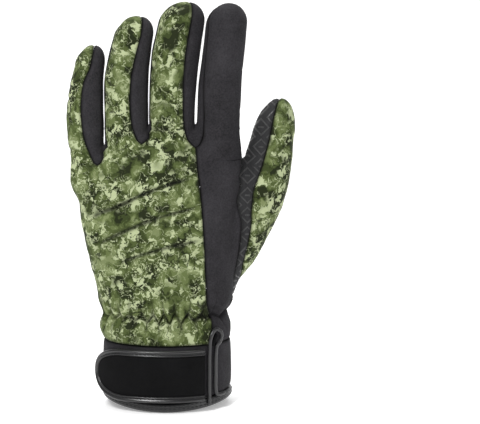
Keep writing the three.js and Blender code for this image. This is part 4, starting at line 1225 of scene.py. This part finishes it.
def cord_grid(points: Array, way: Array, out: Array, half_wide: Array, half_high: Array,
              around: int = 14) -> tuple[Array, Array]:
    """A closed oval section carried along a path: width to the sides, height away from the cloth.

    Args:
        points: N by 3 path.
        way: unit ways along it.
        out: unit ways off the cloth at each point.
        half_wide: half width at each point.
        half_high: half height at each point.
        around: points round the section.

    Returns:
        Grids of points and normals, N by around + 1 by 3.
    """
    side = unit(np.cross(way, out))
    out = np.cross(side, way)
    turn = np.linspace(0, 2 * np.pi, around + 1)[None, :, None]
    ring = np.cos(turn) * side[:, None] * half_wide[:, None, None]
    ring = ring + np.sin(turn) * out[:, None] * half_high[:, None, None]
    ring[:, -1] = ring[:, 0]
    return points[:, None] + ring, unit(ring)


def plump(name: str, path: Array, out: Array, half_wide: float, half_high: float,
          count: int) -> bpy.types.Object:
    """A round-ended cord laid along a path on the cloth; its section shrinks to the ends as a circle does."""
    points, way, away = along(path, out, count)
    t = np.linspace(-1, 1, count)
    length = np.linalg.norm(np.diff(path, axis=0), axis=1).sum() / 2
    end = np.clip((1 - np.abs(t)) * length / half_wide, 0, 1)
    size = np.sqrt(1 - (1 - end) ** 2)
    grid, normals = cord_grid(points, way, away, half_wide * size, half_high * size)
    sheet = Sheet().add(grid, normals).close()
    return put_mesh(name, sheet.points, sheet.tris, {"seam": np.full(len(sheet.points), 0.01)})


def stitch_row(name: str, path: Array, out: Array, pitch: float, length: float,
               radius: float) -> bpy.types.Object:
    """A row of thread stitches: short pods of six sides, one each pitch along a path on the cloth."""
    total = float(np.linalg.norm(np.diff(path, axis=0), axis=1).sum())
    count = max(int(total / pitch), 2)
    centres, way, away = along(path, out, count)
    side = unit(np.cross(way, away))
    t = np.linspace(-1, 1, 7)
    turn = np.linspace(0, 2 * np.pi, 7)
    swell = np.sqrt(1 - t**2) * radius
    pod = (way[:, None, None] * (t * length / 2)[None, :, None, None]
           + side[:, None, None] * (swell[:, None] * np.cos(turn))[None, :, :, None]
           + away[:, None, None] * (swell[:, None] * np.sin(turn))[None, :, :, None])
    points = (centres[:, None, None] + pod).reshape(-1, 3)
    ids = np.arange(7 * 7).reshape(7, 7)
    cell = np.stack([ids[:-1, :-1], ids[:-1, 1:], ids[1:, 1:], ids[1:, :-1]], axis=-1).reshape(-1, 4)
    quads = (cell[None] + 49 * np.arange(count)[:, None, None]).reshape(-1, 4)
    first, quads = weld(points, quads)
    merged = points[first]
    tris = split(merged, quads)
    middle = np.repeat(np.arange(count), 49)[first]
    a, b, c = (merged[tris[:, i]] for i in range(3))
    facing = (np.cross(b - a, c - a) * ((a + b + c) / 3 - centres[middle[tris[:, 0]]])).sum(1)
    tris = np.where((facing < 0)[:, None], tris[:, ::-1], tris)
    return put_mesh(name, merged, tris, {"seam": np.full(len(merged), 0.01)})


# the glove's sub-assemblies

class Held(Enum):
    """How a cloth piece keeps its form."""

    STRETCHED = "stretched"
    GATHERED = "gathered"
    LAID = "laid"


@dataclass(frozen=True)
class Cut:
    """A cloth piece's flat cut: width and length in metres, and how much gathers take up."""

    width: float
    length: float
    fullness: float = 1.0
    held: Held = Held.STRETCHED


def dress(piece: bpy.types.Object, material: bpy.types.Material, finish: Finish,
          node: str) -> bpy.types.Object:
    """Gives a piece its material and lets it stand for a CAD node, where one is named."""
    piece.data.materials.append(material)
    if node:
        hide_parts(node)
    return piece


class Wardrobe:
    """The finished materials, each built once."""

    def __init__(self, palette: Palette) -> None:
        """Builds a material for every finish."""
        effects = Effects()
        self.palette = palette
        self.materials = {id(f): f.build(effects) for f in vars(palette).values()}

    def dress(self, piece: bpy.types.Object, finish: Finish, node: str = "") -> bpy.types.Object:
        """Dresses a piece in a finish."""
        return dress(piece, self.materials[id(finish)], finish, node)


@dataclass
class HandCloth:
    """Everything above the cuff: back, index strip, gussets, palm and thumb."""

    weaver: Weaver
    wardrobe: Wardrobe
    back_pleats: tuple[Pleat, ...] = (
        Pleat(-0.336, 0.694, 0.163, 0.925, 2.0, 1.6, 2.4),
        Pleat(-0.44, 0.648, -0.183, 0.78, 1.7, 1.5, 0.8),
        Pleat(-0.407, 0.47, 0.204, 0.733, 2.2, 1.7, 3.4),
        Pleat(-0.297, 0.352, 0.225, 0.517, 1.7, 1.6, 2.0),
        Pleat(0.0, 0.964, 0.154, 0.99, 1.3, 1.2),
        Pleat(-0.097, 1.22, 0.03, 1.235, 1.3, 1.2),
        Pleat(-0.46, 0.88, -0.3, 0.86, 0.9, 1.5),
        Pleat(-0.1, 0.62, 0.2, 0.66, 0.8, 1.6),
        Pleat(-0.36, 0.26, -0.12, 0.3, 1.0, 1.6),
    )
    back_creases: tuple[tuple[int, float, float], ...] = (
        (0, 0.69, 0.6), (0, 0.16, 0.7), (1, 0.5, 0.35), (2, 0.52, 0.35), (2, 0.16, 0.4), (1, 0.2, 0.35))
    palm_creases: tuple[tuple[int, float, float], ...] = (
        (0, 0.3, 0.8), (0, 0.66, 0.6), (1, 0.32, 0.8), (1, 0.66, 0.6), (2, 0.32, 0.8), (2, 0.66, 0.6),
        (3, 0.32, 0.8), (3, 0.66, 0.6))
    pieces: dict[str, bpy.types.Object] = field(default_factory=dict)

    def _count(self, width: float) -> int:
        """Columns over a width at the weaver's pitch."""
        return max(int(round(width / self.weaver.pitch)), 3)

    def _piece(self, node: str, groups: Sequence[Columns], finish: Finish, folds: Folds, cut: Cut) -> None:
        """Weaves one panel, folds it and dresses it."""
        sheet = self.weaver.sheet(groups)
        wall = self.weaver.form.sizes.cloth_wall
        piece = self.wardrobe.dress(sheet.solid("cloth_" + node, wall, SeamEdge(), folds), finish, node)
        area = min(sheet.area() * cut.fullness, cut.width * cut.length)
        self.pieces[node] = piece

    def build(self) -> None:
        """Makes every cloth panel of the hand."""
        self._back()
        self._strip()
        self._gussets()
        self._palm()
        self._thumb()

    def _back(self) -> None:
        """The camouflage back with the backs of the little, ring and middle fingers."""
        w, s = self.weaver, self.weaver.seams
        little, ring, middle, _ = w.form.fingers
        f = s.forks
        groups = [
            Columns(s.side, join(f[0].bottom_z, s.little_ring, s.little_gusset), self._count(26), w.floor,
                    little),
            Columns(join(f[0].bottom_z, s.little_ring, s.ring_outer),
                    join(f[1].bottom_z, s.ring_middle, s.ring_gusset), self._count(30), w.floor, ring),
            Columns(join(f[1].bottom_z, s.ring_middle, s.middle_outer),
                    join(f[2].bottom_z, s.strip, s.middle_gusset), self._count(32), w.floor, middle),
        ]
        folds = Folds(w.form, 1.7, 2.4, folds_round=28, pleats=self.back_pleats, creases=self.back_creases,
                      wrinkle_depth=0.26)
        self._piece("back_panel", groups, self.wardrobe.palette.camouflage, folds,
                    Cut(0.13, 0.235, 1.06, Held.GATHERED))

    def _strip(self) -> None:
        """The neoprene strip up the thumb side of the back and over the index finger."""
        w, s = self.weaver, self.weaver.seams
        groups = [Columns(join(s.forks[2].bottom_z, s.strip, s.index_outer), s.strip_edge,
                          self._count(30), w.floor, w.form.fingers[3])]
        folds = Folds(w.form, 0.9, 1.9, folds_round=14, wrinkle_depth=0.14, wrinkle_size=22, seed=9,
                      creases=((3, 0.36, 0.25), (3, 0.66, 0.2)),
                      pleats=(Pleat(0.2, 0.1, 0.34, 0.02, 0.9, 2.0), Pleat(0.22, 0.24, 0.33, 0.14, 0.5, 2.5)))
        self._piece("index_strip", groups, self.wardrobe.palette.neoprene, folds, Cut(0.045, 0.24))

    def _gussets(self) -> None:
        """The three gussets that line the facing walls of neighbouring fingers."""
        s, (little, ring, middle, index) = self.weaver.seams, self.weaver.form.fingers
        self._gusset("gusset_little_ring", s.forks[0], little, ring, s.little_gusset, s.ring_outer)
        self._gusset("gusset_ring_middle", s.forks[1], ring, middle, s.ring_gusset, s.middle_outer)
        self._gusset("gusset_middle_index", s.forks[2], middle, index, s.middle_gusset, s.index_outer)

    def _gusset(self, node: str, fork: Fork, left: Tube, right: Tube, left_seam: Track,
                right_seam: Track) -> None:
        """One gusset: two walls, each met from the back and from the palm, over their fork."""
        w, s = self.weaver, self.weaver.seams
        wide, slim = self._count(12), self._count(7)
        groups = [
            Columns(left_seam, s.over_fork(fork, 0, left, 90), wide, fork.bottom_z, left, right_crest=fork),
            Columns(s.over_fork(fork, 180, left, 90), s.from_palm_fork(left, fork, 1), slim, fork.palm_z,
                    left,
                    left_crest=fork),
            Columns(s.over_fork(fork, 0, right, -90), right_seam, slim, fork.bottom_z, right,
                    left_crest=fork),
            Columns(s.from_palm_fork(right, fork, -1), s.over_fork(fork, 180, right, 270), slim, fork.palm_z,
                    right, right_crest=fork),
        ]
        folds = Folds(w.form, wrinkle_depth=0.1, wrinkle_size=16, seed=12)
        self._piece(node, groups, self.wardrobe.palette.neoprene, folds, Cut(0.045, 0.19))

    def _palm(self) -> None:
        """The grip-printed palm with the palm sides of all four fingers."""
        w, s = self.weaver, self.weaver.seams
        little, ring, middle, index = w.form.fingers
        f = s.forks
        lines = [s.palm_column(share, fork) for share, fork in ((0.36, f[2]), (0.7, f[1]), (1.0, f[0]))]
        right_of = lambda tube, fork: s.from_palm_fork(tube, fork, -1)
        left_of = lambda tube, fork: s.from_palm_fork(tube, fork, 1)
        groups = [
            Columns(s.strip_edge, s.wrist, self._count(22), w.floor, top=s.thenar_z),
            Columns(s.palm_edge, join(f[2].palm_z, lines[0], right_of(index, f[2])), self._count(30), w.floor,
                    index),
            Columns(join(f[2].palm_z, lines[0], left_of(middle, f[2])),
                    join(f[1].palm_z, lines[1], right_of(middle, f[1])), self._count(28), w.floor, middle),
            Columns(join(f[1].palm_z, lines[1], left_of(ring, f[1])),
                    join(f[0].palm_z, lines[2], right_of(ring, f[0])), self._count(28), w.floor, ring),
            Columns(join(f[0].palm_z, lines[2], left_of(little, f[0])), s.palm_side, self._count(28), w.floor,
                    little),
        ]
        folds = Folds(w.form, 1.3, 1.6, creases=self.palm_creases, wrinkle_depth=0.2, seed=21)
        self._piece("palm_panel", groups, self.wardrobe.palette.grip, folds,
                    Cut(0.16, 0.235, 1.05, Held.GATHERED))

    def _thumb(self) -> None:
        """The thumb: a camouflage outer side between two printed ones."""
        w, s = self.weaver, self.weaver.seams
        low, top, thumb = s.thenar_z, s.web_top, w.form.thumb
        folds = Folds(w.form, wrinkle_depth=0.2, seed=31)
        camouflage, grip = self.wardrobe.palette.camouflage, self.wardrobe.palette.grip
        self._piece("thumb_back", [Columns(s.thumb_front, s.thumb_back, self._count(28), low, thumb, top)],
                    camouflage, folds, Cut(0.045, 0.14))
        self._piece("thumb_palm", [
            Columns(s.thumb_back, s.thumb_palm_edge, self._count(34), low, thumb, top),
            Columns(s.thumb_front_edge, s.thumb_front, self._count(12), low, thumb, top),
        ], grip, folds, Cut(0.085, 0.14))


@dataclass
class Cuff:
    """The neoprene band round the wrist with its stitched hem and its bound slit."""

    form: HandForm
    wardrobe: Wardrobe
    pitch: float
    slit_x: float = 26.98
    slit_width: float = 3.4
    slit_rise: float = 9.3
    binding_width: float = 2.4
    binding_raise: float = 1.6

    def point(self, angle: Array, z: Array, rise: Array) -> tuple[Array, Array]:
        """Points and normals on the cuff's oval at angles from the back, heights and rise off it."""
        s = self.form.sizes
        a, b = s.cuff_width / 2 + rise, s.cuff_depth / 2 + rise
        angle, z, a, b = np.broadcast_arrays(angle, z, a, b)
        points = np.stack([a * np.sin(angle), -b * np.cos(angle), z], axis=-1)
        return points, unit(np.stack([np.sin(angle) / a, -np.cos(angle) / b, np.zeros_like(a)], axis=-1))

    def rim(self, angle: Array) -> Array:
        """Height of the rim: it dips at the back and the palm."""
        return self.form.sizes.rim_dip * np.sin(angle) ** 2

    def _ring(self, low: Callable[[Array], Array], high: Callable[[Array], Array],
              rise: Callable[[Array], Array]) -> Sheet:
        """A band round the cuff from one height to another, raised by its share of the way up."""
        around = np.linspace(0, 2 * np.pi, int(225 / self.pitch) + 1)
        around[-1] = 0.0
        t = np.linspace(0, 1, max(int(32 / self.pitch), 8))[:, None]
        z = mix(low(around)[None], high(around)[None], t)
        return Sheet().add(*self.point(around[None], z, rise(t))).close()

    def build(self) -> None:
        """Makes the band, the hem with its two rows of stitches, and the slit."""
        s, palette = self.form.sizes, self.wardrobe.palette
        level = lambda height: (lambda angle: np.full_like(angle, height))
        band = self._ring(lambda angle: self.rim(angle) + s.hem_height + 0.15, level(s.cuff_height - 0.15),
                          lambda t: 0.45 * np.sin(np.pi * t))
        folds = Folds(self.form, ruffle_depth=0.0, gather_depth=0.0, wrinkle_depth=0.12, wrinkle_size=20,
                      seed=41)
        band_piece = self.wardrobe.dress(
            band.solid("cloth_cuff_band", s.cuff_wall, SeamEdge(roll_depth=0.7), folds), palette.neoprene,
            "cuff_band")
        hem = self._ring(self.rim, lambda angle: self.rim(angle) + s.hem_height - 0.15,
                         lambda t: s.hem_raise * np.sin(np.pi * np.clip(t, 0.02, 0.98)) ** 0.5)
        hem_piece = self.wardrobe.dress(
            hem.solid("cloth_cuff_hem", s.cuff_wall + 0.4, SeamEdge(roll_depth=0.35, roll_width=0.7), None),
            palette.tape, "cuff_hem")
        rows = [self._stitches(f"stitches_hem_{i}", share) for i, share in enumerate((0.36, 0.7))]
        slit = self._slit()

    def _stitches(self, name: str, share: float) -> bpy.types.Object:
        """A row of stitches round the hem at a share of its height."""
        s = self.form.sizes
        angle = np.linspace(0, 2 * np.pi, 90)
        path, out = self.point(angle, self.rim(angle) + share * s.hem_height, np.full(90, s.hem_raise * 0.95))
        row = stitch_row(name, path, out, 2.9, 2.1, 0.28)
        return self.wardrobe.dress(row, self.wardrobe.palette.thread)

    def slit_path(self) -> tuple[Array, Array]:
        """The binding's way: up beside the strap, round above the cuff's edge and down again."""
        s = self.form.sizes
        rows = np.array([
            (0, s.rim_dip * 0.5 + 1), (0, 0.5 * s.cuff_height), (0.1, s.cuff_height),
            (0.45, s.cuff_height + 0.62 * self.slit_rise), (1.25, s.cuff_height + self.slit_rise),
            (2.2, s.cuff_height + 0.72 * self.slit_rise), (2.1, s.cuff_height + 0.22 * self.slit_rise),
            (1.3, s.cuff_height - 0.2 * self.slit_rise), (1.1, 0.5 * s.cuff_height),
            (1.2, s.hem_height + s.rim_dip), (1.8, s.hem_height + 0.72 * s.rim_dip),
            (2.8, s.hem_height + 0.8 * s.rim_dip)])
        return self.on_surface(self.slit_x + rows[:, 0] * self.slit_width, rows[:, 1],
                               s.hem_raise + self.binding_raise / 2 + 0.35)

    def on_surface(self, x: Array, z: Array, rise: float) -> tuple[Array, Array]:
        """Points over the cuff or the cloth above it, a rise off it, met from the back."""
        s = self.form.sizes
        low, out = self.point(np.arcsin(x / (s.cuff_width / 2)), z, np.full(len(x), rise))
        origin = np.stack([x, np.zeros(len(x)), z], axis=-1)
        high = self.form.leave(origin, np.tile((0.0, -1.0, 0.0), (len(x), 1)))
        normal = self.form.normals(high)
        above = (z > s.cuff_height)[:, None]
        return np.where(above, high + rise * normal, low), np.where(above, normal, out)

    def _slit(self) -> list[bpy.types.Object]:
        """The slit's binding and the rolled tongue inside the loop."""
        palette = self.wardrobe.palette
        path, out = self.slit_path()
        binding = self.wardrobe.dress(
            plump("cloth_slit_binding", path, out, self.binding_width / 2, self.binding_raise / 2, 220),
            palette.tape, "slit_binding")
        s = self.form.sizes
        x = self.slit_x + np.array([0.75, 1.0, 1.35, 1.5]) * self.slit_width
        z = s.cuff_height + np.array([-0.12, 0.2, 0.52, 0.72]) * self.slit_rise
        tongue_path, tongue_out = self.on_surface(x, z, 0.7)
        tongue = self.wardrobe.dress(plump("slit_tongue", tongue_path, tongue_out, 1.5, 0.9, 60),
                                     palette.strap)
        return [binding, tongue]


@dataclass
class ClosingStrap:
    """The strap across the back of the cuff, its round end bound in tape."""

    cuff: Cuff
    wardrobe: Wardrobe
    pitch: float
    height: float = 34.0
    lift: float = 7.0
    thickness: float = 2.4
    binding_width: float = 4.0
    binding_raise: float = 1.0
    clearance: float = 0.4
    tab_reach: float = 3.7
    end_length: float = 28.0

    def plan(self, offset: float) -> dict[str, Array]:
        """The strap's line seen from above, a distance off the cuff, with its length along it."""
        s = self.cuff.form.sizes
        right = s.cuff_width / 2 + offset
        depth = s.cuff_depth / 2 + offset
        end = math.asin((self.cuff.slit_x - self.cuff.binding_width / 2 - 0.3) / right)
        angle = np.linspace(math.radians(-74), end, 241)
        a = np.where(angle < 0, right + self.tab_reach, right)
        x, y = a * np.sin(angle), -depth * np.cos(angle)
        out = unit(np.stack([np.sin(angle) / a, -np.cos(angle) / depth], axis=-1))
        length = np.concatenate([[0], np.cumsum(np.hypot(np.diff(x), np.diff(y)))])
        return {"x": x, "y": y, "nx": out[:, 0], "ny": out[:, 1], "length": length}

    def place(self, plan: dict[str, Array], along_: Array, z: Array) -> tuple[Array, Array]:
        """Points and normals at lengths along a plan and heights."""
        along_, z = np.broadcast_arrays(along_, z)
        x, y, nx, ny = (np.interp(along_, plan["length"], plan[key]) for key in ("x", "y", "nx", "ny"))
        return np.stack([x, y, z], axis=-1), unit(np.stack([nx, ny, np.zeros_like(nx)], axis=-1))

    @property
    def middle_z(self) -> float:
        """Height of the strap's middle line."""
        return self.lift + self.height / 2

    def build(self) -> None:
        """Makes the field, the binding and its stitches."""
        palette = self.wardrobe.palette
        core = self.wardrobe.dress(self._core(), palette.strap, "strap")
        binding = self.wardrobe.dress(self._binding(), palette.tape, "strap_binding")
        stitches = self.wardrobe.dress(self._stitches(), palette.thread)

    def _core(self) -> bpy.types.Object:
        """The flat field: straight, with a round end whose half height follows a circle."""
        plan = self.plan(self.clearance + self.thickness)
        inset = 0.82 * self.binding_width
        half, end = self.height / 2 - inset, self.end_length - inset
        turn = np.radians(np.linspace(0, 90, 26))
        stations = np.concatenate([inset + end * (1 - np.cos(turn)),
                                   np.arange(inset + end + 1, plan["length"][-1], self.pitch),
                                   [plan["length"][-1]]])
        reach = np.minimum((stations - inset) / end, 1)
        heights = half * np.sqrt(np.maximum(1 - (1 - reach) ** 2, 0))
        side = np.linspace(-1, 1, 31)
        points, normals = self.place(plan, stations[:, None], self.middle_z + heights[:, None] * side[None])
        folds = Folds(self.cuff.form, ruffle_depth=0.0, gather_depth=0.0, wrinkle_depth=0.05, wrinkle_size=14)
        sheet = Sheet().add(points, normals).close()
        return sheet.solid("cloth_strap", self.thickness, SeamEdge(0.0, 0.3, 0.8, 3.0, 0.0), folds)

    def _track(self, plan: dict[str, Array], across: Array, count: int) -> tuple[Array, Array]:
        """Lengths and heights along the strap's border, at shares across it from the outer edge."""
        straight = np.linspace(plan["length"][-1], self.end_length, count)
        turn = np.concatenate([np.zeros(count), np.linspace(0, np.pi, count)[1:-1], np.full(count, np.pi)])
        base = np.concatenate([straight, np.full(count - 2, self.end_length), straight[::-1]])
        inward = across[None, :] * self.binding_width
        back = (self.end_length - inward) * np.sin(turn)[:, None]
        return base[:, None] - back, (self.height / 2 - inward) * np.cos(turn)[:, None]

    def _binding(self) -> bpy.types.Object:
        """The tape round the border: a broad outer roll and a narrow inner ridge."""
        plan = self.plan(self.clearance + self.thickness + self.binding_raise)
        across = np.linspace(0, 1, 17)
        length, height = self._track(plan, across, 90)
        points, normals = self.place(plan, length, self.middle_z + height)
        swell = np.maximum(bump(across - 0.28, 0.26), 0.8 * bump(across - 0.84, 0.13))
        edge = smooth_step(np.minimum(across, 1 - across) / 0.1)
        sink = -self.binding_raise * (1 - swell * edge) * 0.9
        points = points + normals * sink[None, :, None]
        sheet = Sheet().add(points, normals).close()
        return sheet.solid("cloth_strap_binding", self.thickness + 0.2,
                           SeamEdge(0.0, 0.0, 1.0, 3.0, 0.0), None)

    def _stitches(self) -> bpy.types.Object:
        """One row of stitches in the valley between the tape's roll and its ridge."""
        plan = self.plan(self.clearance + self.thickness + 0.45 * self.binding_raise)
        length, height = self._track(plan, np.array([0.62]), 60)
        path, out = self.place(plan, length[:, 0], self.middle_z + height[:, 0])
        return stitch_row("stitches_strap", path, out, 2.6, 1.9, 0.25)


# studio

@dataclass(frozen=True)
class Studio:
    """The plain pale studio: floor and backdrop in one sweep, soft lights, and the camera."""

    frame_pixels: tuple[int, int] = (480, 424)
    metres_per_pixel: float = 0.000636
    distance: float = 1.1
    pitch_degrees: float = 8.5
    centre_pixel_x: float = 165.0
    base_pixel_y: float = 416.0

    def camera(self) -> None:
        """A long lens before the middle of the photograph's frame, looking a little down."""
        wide, high = self.frame_pixels
        down = math.radians(self.pitch_degrees)
        target = Vector((
            (wide / 2 - self.centre_pixel_x) * self.metres_per_pixel, -0.02,
            (self.base_pixel_y - high / 2) * self.metres_per_pixel / math.cos(down) - 0.0025))
        data = bpy.data.cameras.new("camera")
        data.sensor_width = 36.0
        data.lens = data.sensor_width * self.distance / (wide * self.metres_per_pixel)
        data.clip_start, data.clip_end = 0.05, 50.0
        camera = bpy.data.objects.new("camera", data)
        camera.location = target + Vector((0, -math.cos(down), math.sin(down))) * self.distance
        camera.rotation_euler = (math.pi / 2 - down, 0.0, 0.0)
        bpy.context.collection.objects.link(camera)
        bpy.context.scene.camera = camera

    def floor(self) -> None:
        """A pale floor that curves up into a backdrop: level, a quarter circle, then upright."""
        t = np.linspace(0, np.pi / 2, 16)
        y = np.concatenate([[-3.0, 0.9], 0.9 + 0.8 * np.sin(t[1:]), [1.7]])
        z = np.concatenate([[0.0, 0.0], 0.8 - 0.8 * np.cos(t[1:]), [3.2]])
        x = np.linspace(-3, 3, 5)
        points = np.stack(np.broadcast_arrays(x[None], y[:, None], z[:, None]), axis=-1)
        ids = np.arange(points[..., 0].size).reshape(points.shape[:2])
        quads = np.stack([ids[:-1, :-1], ids[:-1, 1:], ids[1:, 1:], ids[1:, :-1]], axis=-1).reshape(-1, 4)
        mesh = bpy.data.meshes.new("floor")
        mesh.from_pydata((points.reshape(-1, 3) + (0, 0, -0.0004)).tolist(), [], quads.tolist())
        mesh.polygons.foreach_set("use_smooth", np.ones(len(mesh.polygons), bool))
        floor = bpy.data.objects.new("floor", mesh)
        material = bpy.data.materials.new("pale_floor")
        material.use_nodes = True
        shader = material.node_tree.nodes["Principled BSDF"]
        shader.inputs["Base Color"].default_value = (0.93, 0.93, 0.93, 1)
        shader.inputs["Roughness"].default_value = 0.9
        shader.inputs["Specular IOR Level"].default_value = 0.1
        shader.inputs["Emission Color"].default_value = (1, 1, 1, 1)
        shader.inputs["Emission Strength"].default_value = 0.3
        mesh.materials.append(material)
        bpy.context.collection.objects.link(floor)

    def light(self, name: str, place: Sequence[float], aim: Sequence[float], size: float,
              power: float) -> None:
        """A square soft light that looks at a point."""
        data = bpy.data.lights.new(name, "AREA")
        data.energy, data.size = power, size
        lamp = bpy.data.objects.new(name, data)
        lamp.location = place
        lamp.rotation_mode = "QUATERNION"
        lamp.rotation_quaternion = (Vector(aim) - Vector(place)).to_track_quat("-Z", "Y")
        bpy.context.collection.objects.link(lamp)

    def build(self) -> None:
        """Sets the whole studio."""
        self.camera()
        self.floor()
        self.light("key_light", (-0.55, -1.0, 1.35), (0, 0, 0.14), 0.4, 19.0)
        self.light("fill_light", (1.2, -1.0, 0.5), (0, 0, 0.12), 0.8, 4.0)
        self.light("top_light", (0.1, 0.35, 1.6), (0, 0, 0.1), 1.0, 14.0)
        world = bpy.data.worlds.new("studio_air")
        world.use_nodes = True
        world.node_tree.nodes["Background"].inputs[0].default_value = (1, 1, 1, 1)
        world.node_tree.nodes["Background"].inputs[1].default_value = 0.3
        bpy.context.scene.world = world
        bpy.context.scene.view_settings.view_transform = "Standard"


def main() -> None:
    """Builds the studio and the glove in order."""
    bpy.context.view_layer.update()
    Studio().build()
    pitch = 0.95
    form = HandForm(Sizes())
    weaver = Weaver(form, Seams(form), pitch)
    wardrobe = Wardrobe(Palette())
    HandCloth(weaver, wardrobe).build()
    cuff = Cuff(form, wardrobe, pitch)
    cuff.build()
    ClosingStrap(cuff, wardrobe, pitch).build()


if __name__ == "__main__":
    logging.basicConfig(level=logging.INFO, format="%(name)s: %(message)s")
    main()
